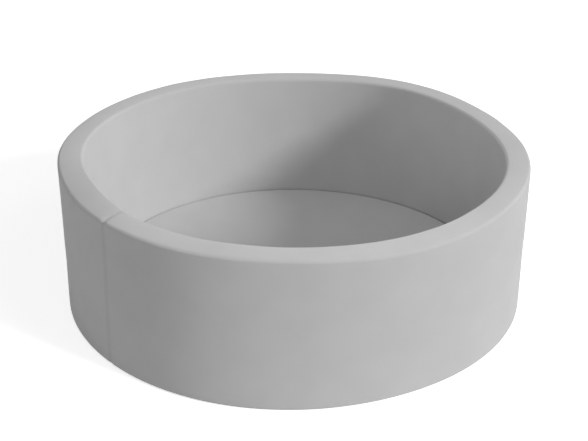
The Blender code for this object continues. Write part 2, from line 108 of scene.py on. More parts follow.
class Wire:
    """A socket's value in a shader; sums and products of it add the Math nodes that they need."""

    def __init__(self, shader: "Shader", socket: bpy.types.NodeSocket) -> None:
        """Keeps the socket and the shader that its node is in."""
        self.shader = shader
        self.socket = socket

    def _math(self, operation: str, first: Any, second: Any) -> "Wire":
        """One Math node on two values."""
        return self.shader.node("ShaderNodeMath", {"operation": operation}, {0: first, 1: second})

    def __add__(self, other: Any) -> "Wire":
        """This value plus another."""
        return self._math("ADD", self, other)

    def __radd__(self, other: Any) -> "Wire":
        """A number plus this value."""
        return self._math("ADD", other, self)

    def __sub__(self, other: Any) -> "Wire":
        """This value less another."""
        return self._math("SUBTRACT", self, other)

    def __rsub__(self, other: Any) -> "Wire":
        """A number less this value."""
        return self._math("SUBTRACT", other, self)

    def __mul__(self, other: Any) -> "Wire":
        """This value times another."""
        return self._math("MULTIPLY", self, other)

    def __rmul__(self, other: Any) -> "Wire":
        """A number times this value."""
        return self._math("MULTIPLY", other, self)

    def sine(self) -> "Wire":
        """The sine of this value, taken as an angle."""
        return self._math("SINE", self, 0.0)

    def size(self) -> "Wire":
        """This value without its sign."""
        return self._math("ABSOLUTE", self, 0.0)

    def folded(self, width: float) -> "Wire":
        """This value, going up and down between 0 and a width."""
        return self._math("PINGPONG", self, width)

    def share(self, low: float, high: float) -> "Wire":
        """How far this value is on the way from low to high, with soft ends.

        Args:
            low: the value that gives 0.
            high: the value that gives 1.

        Returns:
            The share, from 0 to 1.
        """
        settings = {"interpolation_type": "SMOOTHSTEP"}
        sockets = {0: self, 1: low, 2: high, 3: 0.0, 4: 1.0}
        return self.shader.node("ShaderNodeMapRange", settings, sockets)

    def other(self, name: str) -> "Wire":
        """Another output of the same node."""
        return Wire(self.shader, self.socket.node.outputs[name])


class Shader:
    """A node tree in the making, of a material or of the world."""

    def __init__(self, owner: Any) -> None:
        """Empties the owner's node tree.

        Args:
            owner: the material or the world that the tree belongs to.
        """
        self.owner = owner
        owner.use_nodes = True
        owner.node_tree.nodes.clear()

    def _made(self, kind: str, settings: dict[str, Any], sockets: dict[Any, Any]) -> bpy.types.Node:
        """Adds one node, its settings first and its sockets after them.

        Args:
            kind: the node's type.
            settings: its settings.
            sockets: the value or the Wire of each socket that is set, by name or number.

        Returns:
            The node.
        """
        made = self.owner.node_tree.nodes.new(kind)
        for name, value in settings.items():
            setattr(made, name, value)
        for key, value in sockets.items():
            if isinstance(value, Wire):
                self.owner.node_tree.links.new(value.socket, made.inputs[key])
            else:
                made.inputs[key].default_value = value
        return made

    def node(
        self, kind: str, settings: dict[str, Any], sockets: dict[Any, Any], output: int | str = 0
    ) -> Wire:
        """Adds one node, made as _made says, and gives one of its outputs, by name or number."""
        return Wire(self, self._made(kind, settings, sockets).outputs[output])

    def place(self) -> Wire:
        """The object's own coordinates, in metres."""
        return self.node("ShaderNodeTexCoord", {}, {}, "Object")

    def parted(self, vector: Wire) -> Wire:
        """A vector's X, whose node gives its Y and Z too."""
        return self.node("ShaderNodeSeparateXYZ", {}, {0: vector}, "X")

    def cloth(self) -> Wire:
        """The way along the cloth in metres, whose node gives the way across it as Y."""
        return self.parted(self.node("ShaderNodeUVMap", {"uv_map": CLOTH_UV}, {}))

    def grain(self, scale: float, detail: float = 2.0) -> Wire:
        """Noise with about this many spots to a metre, from 0 to 1."""
        sockets = {"Vector": self.place(), "Scale": scale, "Detail": detail}
        return self.node("ShaderNodeTexNoise", {}, sockets)

    def mixed(self, first: Colour, second: Colour, share: Wire) -> Wire:
        """A colour between two others."""
        sockets = {0: share, 6: (*first, 1.0), 7: (*second, 1.0)}
        return self.node("ShaderNodeMix", {"data_type": "RGBA"}, sockets, 2)

    def bump(self, height: Wire, distance: float, strength: float) -> Wire:
        """A normal that follows a height, whose 1 is a distance high."""
        sockets = {"Height": height, "Distance": distance, "Strength": strength}
        return self.node("ShaderNodeBump", {}, sockets)

    def seen(self) -> Wire:
        """1 for what the camera sees, straight or in gloss or glass, and 0 for light on its way."""
        path = self.node("ShaderNodeLightPath", {}, {}, "Is Camera Ray")
        return path + path.other("Is Glossy Ray") + path.other("Is Transmission Ray")

    def finished(self, kind: str, sockets: dict[str, Any]) -> Any:
        """Closes the tree with a surface of this kind.

        Args:
            kind: the surface node's type.
            sockets: the value or the Wire of each of its sockets that is set.

        Returns:
            The material or the world that the tree belongs to.
        """
        shown = self.node(kind, {}, sockets)
        world = isinstance(self.owner, bpy.types.World)
        output = "ShaderNodeOutputWorld" if world else "ShaderNodeOutputMaterial"
        self._made(output, {}, {"Surface": shown})
        return self.owner


def shade(colour: Colour, factor: float) -> Colour:
    """The colour, lighter or darker by a factor."""
    return tuple(c * factor for c in colour)


@dataclass(frozen=True)
class Finish:
    """A finish that becomes one material.

    Attributes:
        name: the material's name.
        colour: its mean colour.
        tones: the factors of its two tones.
        roughness: its roughness, or the least of it where it varies.
        relief: how high its surface's relief is.
        relief_share: how much of that relief the light shows.
    """

    name: str
    colour: Colour
    tones: Span = (1.0, 1.0)
    roughness: float = 0.9
    relief: float = 0.0
    relief_share: float = 0.5

    def sockets(self, shader: Shader) -> dict[str, Any]:
        """The values and Wires of the surface's sockets, which each finish gives in its own way."""
        raise NotImplementedError

    def material(self) -> bpy.types.Material:
        """Makes the material."""
        shader = Shader(bpy.data.materials.new(self.name))
        return shader.finished("ShaderNodeBsdfPrincipled", self.sockets(shader))

    def toned(self, shader: Shader, share: Wire) -> Wire:
        """The colour that lies this share of the way from its first tone to its second."""
        first, second = (shade(self.colour, factor) for factor in self.tones)
        return shader.mixed(first, second, share)

    def bumped(self, shader: Shader, height: Wire) -> Wire:
        """The normal of its relief, which follows this height."""
        return shader.bump(height, self.relief, self.relief_share)


@dataclass(frozen=True)
class PileFabric(Finish):
    """A matt cover fabric with a short dense pile.

    Attributes:
        nap: soft clouds in its nap to a metre.
        tufts: pile tufts to a metre.
        stitch_pitch: the length of a stitch in its cross seam, or 0 where it has none.
        stitch_reach: the distances from that seam between which the stitches end.
        pressed: how much darker the colour is painted along the seam's pressed crease, as a share:
            painted shade.
        seam_shade_reach: the distances from the seam between which that ends.
    """

    colour: Colour = (0.50, 0.50, 0.50)
    tones: Span = (0.88, 1.12)
    roughness: float = 0.93
    relief: float = 0.00022
    relief_share: float = 0.55
    nap: float = 16.0
    tufts: float = 820.0
    stitch_pitch: float = 0.0
    stitch_reach: Span = (0.0004, 0.0020)
    pressed: float = 0.055
    seam_shade_reach: Span = (0.0006, 0.0100)

    def sockets(self, shader: Shader) -> dict[str, Any]:
        """The pile's clouds and tufts, with the seam's stitches and the painted shade along it where it
        has one.

        Args:
            shader: the material's shader.

        Returns:
            The sockets.
        """
        nap = shader.grain(self.nap, detail=3.0)
        tufts = shader.grain(self.tufts)
        fibres = shader.grain(4 * self.tufts, detail=3.0)
        light = nap * 0.40 + tufts * 0.25 + fibres * 0.35
        height = tufts * 0.6 + fibres * 0.4
        if self.stitch_pitch:
            cloth = shader.cloth()
            stitches = (cloth.other("Y") * (TURN / self.stitch_pitch)).sine() * 0.5 + 0.5
            away = cloth.size()
            height = height - stitches * (1 - away.share(*self.stitch_reach))
            # Painted shade: the colour is darkened along the cross seam, where the crease's shade falls.
            darker = self.pressed / (self.tones[1] - self.tones[0])
            light = light - (1 - away.share(*self.seam_shade_reach)) * darker
        return {
            "Base Color": self.toned(shader, light),
            "Roughness": self.roughness,
            "Diffuse Roughness": 0.5,
            "Specular IOR Level": 0.10,
            "Normal": self.bumped(shader, height),
        }


@dataclass(frozen=True)
class BackingCloth(Finish):
    """The close plain weave of the panel that the pit stands on.

    Attributes:
        pitch: the pitch of its threads.
        clouds: soft clouds to a metre.
        fibres: fibres to a metre.
    """

    name: str = "backing_cloth"
    colour: Colour = (0.44, 0.44, 0.44)
    tones: Span = (0.84, 1.16)
    roughness: float = 0.88
    relief: float = 0.00020
    relief_share: float = 0.6
    pitch: float = 0.0011
    clouds: float = 9.0
    fibres: float = 3000.0

    def sockets(self, shader: Shader) -> dict[str, Any]:
        """The weave, in soft clouds.

        Args:
            shader: the material's shader.

        Returns:
            The sockets.
        """
        place = shader.parted(shader.place())
        turn = TURN / self.pitch
        weave = (place * turn).sine() * (place.other("Y") * turn).sine() * 0.5 + 0.5
        clouds = shader.grain(self.clouds, detail=4.0)
        fibres = shader.grain(self.fibres)
        return {
            "Base Color": self.toned(shader, weave * 0.35 + clouds * 0.35 + fibres * 0.30),
            "Roughness": self.roughness,
            "Specular IOR Level": 0.25,
            "Normal": self.bumped(shader, weave * 0.7 + fibres * 0.3),
        }


@dataclass(frozen=True)
class OpenCellFoam(Finish):
    """Cut polyurethane foam, whose open cells show on its faces.

    Attributes:
        cells: cells to a metre.
        clouds: soft clouds to a metre.
    """

    name: str = "open_cell_foam"
    colour: Colour = (0.86, 0.83, 0.72)
    tones: Span = (1.0, 0.78)
    roughness: float = 0.95
    relief: float = 0.0006
    relief_share: float = 0.6
    cells: float = 700.0
    clouds: float = 30.0

    def sockets(self, shader: Shader) -> dict[str, Any]:
        """The cells, with painted shade in the hollows between them.

        Args:
            shader: the material's shader.

        Returns:
            The sockets.
        """
        pattern = {"Vector": shader.place(), "Scale": self.cells}
        cells = shader.node("ShaderNodeTexVoronoi", {}, pattern, "Distance")
        clouds = shader.grain(self.clouds, detail=3.0)
        # Painted shade: the colour is darker in the cells' hollows, where the bump is lowest.
        painted_pit_shade = 1 - cells.share(0.1, 0.7)
        return {
            "Base Color": self.toned(shader, painted_pit_shade * 0.6 + clouds * 0.3),
            "Roughness": self.roughness,
            "Normal": self.bumped(shader, cells),
        }


@dataclass(frozen=True)
class WovenTape(Finish):
    """The zip's tape, woven in a fine herringbone.

    Attributes:
        pitch: the pitch of its ribs.
        band: the width of one of the herringbone's bands.
        fibres: fibres to a metre.
    """

    name: str = "woven_tape"
    colour: Colour = (0.40, 0.40, 0.40)
    tones: Span = (0.72, 1.22)
    roughness: float = 0.85
    relief: float = 0.0002
    relief_share: float = 0.7
    pitch: float = 0.0009
    band: float = 0.0036
    fibres: float = 5000.0

    def sockets(self, shader: Shader) -> dict[str, Any]:
        """The ribs, which slant one way and the other, and the threads across them.

        Args:
            shader: the material's shader.

        Returns:
            The sockets.
        """
        cloth = shader.cloth()
        across = cloth.other("Y")
        ribs = ((cloth + across.folded(self.band)) * (TURN / self.pitch)).sine() * 0.5 + 0.5
        threads = (across * (TURN / (0.6 * self.pitch))).sine() * 0.5 + 0.5
        height = ribs * 0.7 + threads * 0.3
        return {
            "Base Color": self.toned(shader, height * 0.6 + shader.grain(self.fibres) * 0.4),
            "Roughness": self.roughness,
            "Specular IOR Level": 0.30,
            "Normal": self.bumped(shader, height),
        }


@dataclass(frozen=True)
class MouldedPlastic(Finish):
    """The satin moulded plastic of the zip's teeth and stops.

    Attributes:
        grain: spots of the mould's grain to a metre.
        wear: worn places to a metre.
    """

    name: str = "moulded_plastic"
    colour: Colour = (0.42, 0.42, 0.42)
    tones: Span = (0.94, 1.08)
    roughness: float = 0.34
    relief: float = 0.00004
    relief_share: float = 0.3
    grain: float = 900.0
    wear: float = 160.0

    def sockets(self, shader: Shader) -> dict[str, Any]:
        """The mould's fine grain, and soft wear.

        Args:
            shader: the material's shader.

        Returns:
            The sockets.
        """
        grain = shader.grain(self.grain, detail=3.0)
        wear = shader.grain(self.wear, detail=4.0).share(0.45, 0.75)
        return {
            "Base Color": self.toned(shader, wear),
            "Roughness": grain * 0.16 + self.roughness,
            "Normal": self.bumped(shader, grain),
        }


@dataclass(frozen=True)
class SatinMetal(Finish):
    """The painted zinc of the slider and the pull, rubbed in handling.

    Attributes:
        rubs: rubbed places to a metre.
        scratches: fine scratches to a metre.
    """

    name: str = "satin_metal"
    colour: Colour = (0.45, 0.45, 0.46)
    tones: Span = (1.0, 1.12)
    roughness: float = 0.30
    relief: float = 0.00002
    relief_share: float = 0.25
    rubs: float = 420.0
    scratches: float = 2600.0

    def sockets(self, shader: Shader) -> dict[str, Any]:
        """The rubbed places and the fine scratches.

        Args:
            shader: the material's shader.

        Returns:
            The sockets.
        """
        rubbed = shader.grain(self.rubs, detail=4.0).share(0.50, 0.72)
        scratches = shader.grain(self.scratches)
        return {
            "Base Color": self.toned(shader, rubbed),
            "Metallic": 0.85,
            "Roughness": rubbed * 0.10 + scratches * 0.08 + self.roughness,
            "Normal": self.bumped(shader, scratches),
        }


@dataclass(frozen=True)
class SewingThread(Finish):
    """Twisted polyester thread.

    Attributes:
        twist: spots of its twist to a metre.
    """

    name: str = "sewing_thread"
    colour: Colour = (0.46, 0.46, 0.46)
    tones: Span = (0.85, 1.15)
    roughness: float = 0.6
    relief: float = 0.00005
    twist: float = 6000.0

    def sockets(self, shader: Shader) -> dict[str, Any]:
        """The thread's twist.

        Args:
            shader: the material's shader.

        Returns:
            The sockets.
        """
        twist = shader.grain(self.twist, detail=1.0)
        return {
            "Base Color": self.toned(shader, twist),
            "Roughness": self.roughness,
            "Normal": self.bumped(shader, twist),
        }


@dataclass(frozen=True)
class StudioFloor(Finish):
    """A white studio floor, which the camera sees nearly white with the object's soft shadow on it.

    Attributes:
        clouds: soft clouds to a metre.
        glow: the light that the camera sees added to it.
    """

    name: str = "studio_floor"
    colour: Colour = (0.80, 0.80, 0.80)
    tones: Span = (0.99, 1.01)
    clouds: float = 3.0
    glow: float = 0.66

    def sockets(self, shader: Shader) -> dict[str, Any]:
        """The white floor's faint clouds, and its glow.

        Args:
            shader: the material's shader.

        Returns:
            The sockets.
        """
        return {
            "Base Color": self.toned(shader, shader.grain(self.clouds)),
            "Roughness": self.roughness,
            "Specular IOR Level": 0.0,
            "Emission Color": shader.mixed((0.0, 0.0, 0.0), (self.glow,) * 3, shader.seen()),
            "Emission Strength": 1.0,
        }


@dataclass(frozen=True)
class PitSizes:
    """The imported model's sizes that its pieces share, in metres and radians.

    Attributes:
        outer_radius: the radius of the outer wall.
        height: the height of the rim.
        wall: the thickness of the wall.
        mat_thickness: the thickness of the mat's foam.
        fabric: the thickness of the cover's cloth.
        gap: the space between one layer and the next.
        rim_outer_round: the rounding of the rim's outer edge.
        rim_inner_round: the rounding of its inner edge.
        foot_round: the rounding of the wall's foot.
        hem: the width of the hem where the sleeve is sewn on the underside.
        floor_seam_round: the rounding of the floor panel's turned edge.
        floor_seam_allowance: how far the edges sewn together at the floor reach down from it.
        floor_fall: how far the floor falls from its middle to its edge.
        seam_azimuth: the azimuth of the sleeve's cross seam.
        foam_behind_zip: how far inside the outer wall the foam is pressed behind the zip.
        zip_length: the length of the chain of teeth.
        zip_azimuth: the azimuth of the chain's middle.
        zip_height: the height of the chain's middle line.
        zip_inset: how far inside the outer wall the chain is.
        zip_opening: the height of the cover's opening along the zip.
        lap: the width of the cover's flat edge on a tape.
        lap_clearance: the space between that edge and the tape.
        upper_lip: the height of the sleeve's curve from that edge out to the wall.
        lower_lip: how far the underside's curve stands out under the zip.
        tape_thickness: the thickness of a tape.
        tape_tail: how far a tape goes on past each end of the chain.
        tooth_thickness: the thickness of a tooth, outwards.
        chain_half_width: half the height of the chain.
        open_half_angle: how far from the zip's middle the opening has its whole height.
        shut_half_angle: how far from it the opening's edges meet.
        sewn_half_angle: how far from it the foot has its whole hem.
        pressed_half_angle: how far from it the foam is free of the zip.
    """

    outer_radius: float = 0.450
    height: float = 0.295
    wall: float = 0.045
    mat_thickness: float = 0.020
    fabric: float = 0.0012
    gap: float = 0.0003
    rim_outer_round: float = 0.006
    rim_inner_round: float = 0.006
    foot_round: float = 0.0055
    hem: float = 0.007
    floor_seam_round: float = 0.003
    floor_seam_allowance: float = 0.012
    floor_fall: float = 0.004
    seam_azimuth: float = math.radians(223.1)
    foam_behind_zip: float = 0.0135
    zip_length: float = 0.560
    zip_azimuth: float = math.radians(90.0)
    zip_height: float = 0.0165
    zip_inset: float = 0.0095
    zip_opening: float = 0.0150
    lap: float = 0.0030
    lap_clearance: float = 0.0007
    upper_lip: float = 0.0085
    lower_lip: float = 0.0050
    tape_thickness: float = 0.0006
    tape_tail: float = 0.046
    tooth_thickness: float = 0.0028
    chain_half_width: float = 0.0035
    open_half_angle: float = math.radians(40.0)
    shut_half_angle: float = math.radians(45.0)
    sewn_half_angle: float = math.radians(55.0)
    pressed_half_angle: float = math.radians(60.0)

    @property
    def inner_radius(self) -> float:
        """The radius of the inner wall."""
        return self.outer_radius - self.wall

    @property
    def under_cover(self) -> float:
        """How far the foam lies under the cover's face."""
        return self.fabric + self.gap

    @property
    def mat_top(self) -> float:
        """The height of the mat's top."""
        return self.under_cover + self.mat_thickness

    @property
    def floor_height(self) -> float:
        """The height of the floor panel."""
        return self.mat_top + self.under_cover

    @property
    def floor_edge_height(self) -> float:
        """The height of the floor panel at its turned edge, which its seam draws down."""
        return self.floor_height - self.floor_fall

    @property
    def floor_edge_radius(self) -> float:
        """The radius of the floor panel's turned edge."""
        return self.inner_radius - self.gap

    @property
    def zip_radius(self) -> float:
        """The radius of the chain's middle line."""
        return self.outer_radius - self.zip_inset

    @property
    def lap_radius(self) -> float:
        """The radius of the cover's face where it is sewn on the tapes."""
        return self.zip_radius + self.tape_thickness / 2 + self.lap_clearance + self.fabric

    @property
    def zip_half_angle(self) -> float:
        """Half the angle that the chain spans."""
        return self.zip_length / self.zip_radius / 2

    @property
    def tape_half_angle(self) -> float:
        """Half the angle that the tapes span."""
        return self.zip_half_angle + self.tape_tail / self.zip_radius

    @property
    def tape_end(self) -> float:
        """How far over the chain's middle line a tape ends."""
        return self.zip_height - self.fabric - 2 * self.gap

    @property
    def half_opening(self) -> float:
        """Half the height of the cover's opening along the zip."""
        return self.zip_opening / 2

    def away_from_zip(self, azimuth: float) -> float:
        """The angle between this azimuth and the middle of the zip."""
        return abs((azimuth - self.zip_azimuth + math.pi) % TURN - math.pi)

    def from_seam(self, azimuth: float) -> float:
        """The signed angle from the cross seam to this azimuth."""
        return (azimuth - self.seam_azimuth + math.pi) % TURN - math.pi

    def edge_over_zip(self, azimuth: float) -> float:
        """How far the cover's edge is from the chain's middle line, past whose ends the edges meet."""
        share = smooth_share(self.away_from_zip(azimuth), self.open_half_angle, self.shut_half_angle)
        return self.half_opening + (self.gap - self.half_opening) * share

    def sewn_share(self, azimuth: float) -> float:
        """0 along the zip, 1 where the foot is sewn, and between them past the zip's ends."""
        return smooth_share(self.away_from_zip(azimuth), self.shut_half_angle, self.sewn_half_angle)


def on_ring(radius: float, height: float, azimuth: float) -> Vector:
    """The point at this radius, height and azimuth about the pit's axis."""
    return Vector((radius * math.cos(azimuth), radius * math.sin(azimuth), height))


def azimuth_of(point: Vector) -> float:
    """The azimuth of a point about the pit's axis."""
    return math.atan2(point.y, point.x)


def smooth_share(value: float, start: float, end: float) -> float:
    """How far value is on the way from start to end, from 0 to 1, with soft ends."""
    share = min(max((value - start) / (end - start), 0.0), 1.0)
    return share * share * (3 - 2 * share)


def bell(distance: float, spread: float) -> float:
    """1 at no distance, falling softly to nearly 0 at two spreads."""
    return math.exp(-((distance / spread) ** 2))


def quarter(centre: Sequence[float], first: Sequence[float], last: Sequence[float], steps: int) -> Line:
    """Points of a quarter of an ellipse, from centre + first to centre + last.

    Args:
        centre: its centre.
        first: the way from the centre to its first point.
        last: the way from the centre to its last point.
        steps: the number of steps.

    Returns:
        The points, one more than the steps.
    """
    points = []
    for step in range(steps + 1):
        angle = math.pi / 2 * step / steps
        cosine, sine = math.cos(angle), math.sin(angle)
        points.append(tuple(c + f * cosine + l * sine for c, f, l in zip(centre, first, last)))
    return points


def between(first: Point, last: Point, steps: int) -> Line:
    """The points that part the way from first to last into equal steps, without its ends."""
    shares = [step / steps for step in range(1, steps)]
    return [tuple(a + (b - a) * share for a, b in zip(first, last)) for share in shares]


def crowned(first: Point, last: Point, steps: int, crown: float) -> Line:
    """The points that part the way from first to last, raised towards its middle.

    Args:
        first: the point where the way starts.
        last: the point where it ends.
        steps: the number of steps.
        crown: how far its middle is raised.

    Returns:
        The points between the two.
    """
    points = []
    for radius, height in between(first, last, steps):
        share = (radius - last[0]) / (first[0] - last[0])
        points.append((radius, height + crown * 4 * share * (1 - share)))
    return points


def blended(first: Line, last: Line, share: float) -> Line:
    """The line that lies this share of the way from one line to another."""
    return [tuple(a + (b - a) * share for a, b in zip(p, q)) for p, q in zip(first, last)]


def normals_of(line: Line) -> Line:
    """The unit normals of a line, on the right of its direction.

    Args:
        line: the line's points.

    Returns:
        The normal at each point.
    """
    normals = []
    for index in range(len(line)):
        before, after = line[max(index - 1, 0)], line[min(index + 1, len(line) - 1)]
        run, rise = after[0] - before[0], after[1] - before[1]
        length = math.hypot(run, rise) or 1.0
        normals.append((rise / length, -run / length))
    return normals


def lengths_along(line: Line) -> list[float]:
    """Measures the way along a line.

    Args:
        line: the line's points.

    Returns:
        The way from the first point to each point.
    """
    reached = [0.0]
    for before, after in zip(line, line[1:]):
        reached.append(reached[-1] + math.dist(before, after))
    return reached


@dataclass(frozen=True)
class Round:
    """The way round the pit that a section is turned, in even steps or in ones that crowd at a seam.

    Attributes:
        steps: the number of steps.
        start: the azimuth at which it starts.
        sweep: the angle that it turns through.
        seam: the azimuth at which the steps crowd, if any.
        crowd: how many times closer they stand there, less one.
        spread: the angle within which they crowd.
        fineness: how many finer steps each is measured in to crowd them.
    """

    steps: int
    start: float = 0.0
    sweep: float = TURN
    seam: float | None = None
    crowd: float = 8.0
    spread: float = math.radians(2.6)
    fineness: int = 40

    @property
    def whole(self) -> bool:
        """Whether it is a full turn."""
        return math.isclose(self.sweep, TURN)

    def azimuths(self) -> list[float]:
        """Parts the turn into its steps.

        Returns:
            The azimuth at each step, the last one too.
        """
        even = np.linspace(0.0, self.sweep, self.steps + 1)
        if self.seam is None:
            return [self.start + float(turn) for turn in even]
        fine = np.linspace(0.0, self.sweep, self.fineness * self.steps + 1)
        away = np.abs((fine + self.start - self.seam + math.pi) % TURN - math.pi)
        density = 1 + self.crowd * np.exp(-((away / self.spread) ** 2))
        reached = np.concatenate([[0.0], np.cumsum((density[1:] + density[:-1]) / 2)])
        crowded = np.interp(even, reached / reached[-1] * self.sweep, fine)
        return [self.start + float(turn) for turn in crowded]

    def step_of(self, point: Vector) -> int:
        """Finds the even step at which a point of the spun section lies.

        Args:
            point: the point.

        Returns:
            The number of the step.
        """
        turn = (azimuth_of(point) - self.start + SAME_PLACE) % TURN
        step = round(turn / self.sweep * self.steps)
        return step % self.steps if self.whole else step

    def spun(self, line: Line, closed: bool = False) -> bmesh.types.BMesh:
        """Turns a line of (radius, height) points about the pit's axis.

        Args:
            line: the points; each vertex keeps the number of its point in the layer "row".
            closed: whether the line's last point joins its first.

        Returns:
            The new bmesh, in even steps.
        """
        bm = bmesh.new()
        row = bm.verts.layers.int.new("row")
        verts = []
        for index, (radius, height) in enumerate(line):
            vert = bm.verts.new(on_ring(max(radius, 2 * SAME_PLACE), height, self.start))
            vert[row] = index
            verts.append(vert)
        followers = verts[1:] + verts[:1] if closed else verts[1:]
        edges = [bm.edges.new(pair) for pair in zip(verts, followers)]
        bmesh.ops.spin(
            bm, geom=verts + edges, axis=UP, angle=self.sweep, steps=self.steps, use_merge=self.whole
        )
        return bm


def face_out(bm: bmesh.types.BMesh, direction: Vector) -> None:
    """Turns all faces so that the one furthest in a direction faces that way.

    Args:
        bm: the shape.
        direction: the direction.
    """
    bmesh.ops.recalc_face_normals(bm, faces=bm.faces)
    furthest = max(bm.faces, key=lambda face: face.calc_center_median().dot(direction))
    if furthest.normal.dot(direction) < 0:
        bmesh.ops.reverse_faces(bm, faces=bm.faces)


def close_ends(bm: bmesh.types.BMesh) -> None:
    """Closes every open loop and turns the faces outwards."""
    bmesh.ops.holes_fill(bm, edges=[e for e in bm.edges if e.is_boundary], sides=0)
    bmesh.ops.recalc_face_normals(bm, faces=bm.faces)


def repeat_round(bm: bmesh.types.BMesh, sweep: float, steps: int) -> None:
    """Repeats a shape round the pit's axis, once at each step of the sweep."""
    geometry = [*bm.verts, *bm.edges, *bm.faces]
    bmesh.ops.spin(bm, geom=geometry, axis=UP, angle=sweep, steps=steps, use_duplicate=True)


def merge_doubles(bm: bmesh.types.BMesh) -> None:
    """Merges the points that lie in the same place, as at a disc's middle."""
    bmesh.ops.remove_doubles(bm, verts=bm.verts, dist=10 * SAME_PLACE)


def lay_cloth_uv(bm: bmesh.types.BMesh, line: Line, start: float, radius: float) -> None:
    """Gives a spun cloth its UV map in metres: the way round, and the way along its line.

    Args:
        bm: the spun bmesh.
        line: the line that it was spun from.
        start: the azimuth at which the way round is 0.
        radius: the radius at which the way round is measured.
    """
    row = bm.verts.layers.int["row"]
    uv = bm.loops.layers.uv.new(CLOTH_UV)
    reached = lengths_along(line)
    for face in bm.faces:
        middle = (azimuth_of(face.calc_center_median()) - start + math.pi) % TURN - math.pi
        for loop in face.loops:
            turn = azimuth_of(loop.vert.co) - start - middle
            turn = middle + (turn + math.pi) % TURN - math.pi
            loop[uv].uv = (turn * radius, reached[loop.vert[row]])


def piece_of(name: str, bm: bmesh.types.BMesh, material: bpy.types.Material) -> bpy.types.Object:
    """A new object with its place in its mesh, shaded smooth over its soft edges.

    Args:
        name: the object's name.
        bm: its shape, which is freed.
        material: its material.

    Returns:
        The object.
    """
    mesh = bpy.data.meshes.new(name)
    bm.to_mesh(mesh)
    bm.free()
    mesh.materials.append(material)
    mesh.shade_smooth()
    mesh.set_sharp_from_angle(angle=SHARP_ABOVE)
    piece = bpy.data.objects.new(name, mesh)
    bpy.context.scene.collection.objects.link(piece)
    return piece


def thickened(piece: bpy.types.Object, thickness: float) -> bpy.types.Object:
    """Gives a sheet its thickness, on the side away from its right side.

    Args:
        piece: the sheet, one face thick.
        thickness: its thickness.

    Returns:
        The same sheet.
    """
    solidify = piece.modifiers.new("Thickness", "SOLIDIFY")
    solidify.thickness = thickness
    solidify.offset = -1.0
    solidify.use_even_offset = True
    return piece


def seated(piece: bpy.types.Object, body: Body, slot: Slot, *nodes: str) -> bpy.types.Object:
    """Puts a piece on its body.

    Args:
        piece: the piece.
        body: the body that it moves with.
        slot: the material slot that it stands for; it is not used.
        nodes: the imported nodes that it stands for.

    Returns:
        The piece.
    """
    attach(piece, body.value)
    if nodes:
        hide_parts(*nodes)
    LOG.info("%s: %d faces, on %s", piece.name, len(piece.data.polygons), body.value)
    return piece


@dataclass(frozen=True)
class Lobe:
    """A place where the ring stands out from or inside its true circle.

    Attributes:
        azimuth: where its middle is, in degrees.
        spread: how wide it is, in degrees.
        rim: how far it moves the wall outwards at the rim.
        foot: how far it moves the wall outwards at the foot.
        lift: how far it raises the rim.
        droop: how far it lowers the rim's outer edge beside its inner edge.
        swell: how far it moves the wall's inner face inwards at the rim.
    """

    azimuth: float
    spread: float
    rim: float
    foot: float = 0.0
    lift: float = 0.0
    droop: float = 0.0
    swell: float = 0.0

    def shift(self, azimuth: float, rise: float, across: float) -> tuple[float, float]:
        """How far it moves a point.

        Args:
            azimuth: the point's azimuth.
            rise: how far up the wall it is, from 0 to 1.
            across: how far it is from the wall's inner face to its outer face, from 0 to 1.

        Returns:
            The shift outwards and the shift upwards.
        """
        away = (math.degrees(azimuth) - self.azimuth + 180) % 360 - 180
        share = bell(away, self.spread)
        out = self.foot + (self.rim - self.foot - self.swell * (1 - across)) * rise
        up = (self.lift - self.droop * across) * rise
        return share * out, share * up


@dataclass(frozen=True)
class Waves:
    """Soft waves in foam and cloth, with finer ones on them.

    Attributes:
        height: their height.
        length: their length.
        finer: how many times shorter the finer ones are.
        share: the height of the finer ones, as a share of their own.
        place: where the finer ones are read in the noise.
    """

    height: float
    length: float
    finer: float
    share: float
    place: Place

    def at(self, point: Vector) -> float:
        """Finds how far they move a point.

        Args:
            point: the point.

        Returns:
            The shift there.
        """
        coarse = point / self.length
        fine = noise.noise(coarse * self.finer + Vector(self.place))
        return self.height * (noise.noise(coarse) + self.share * fine)


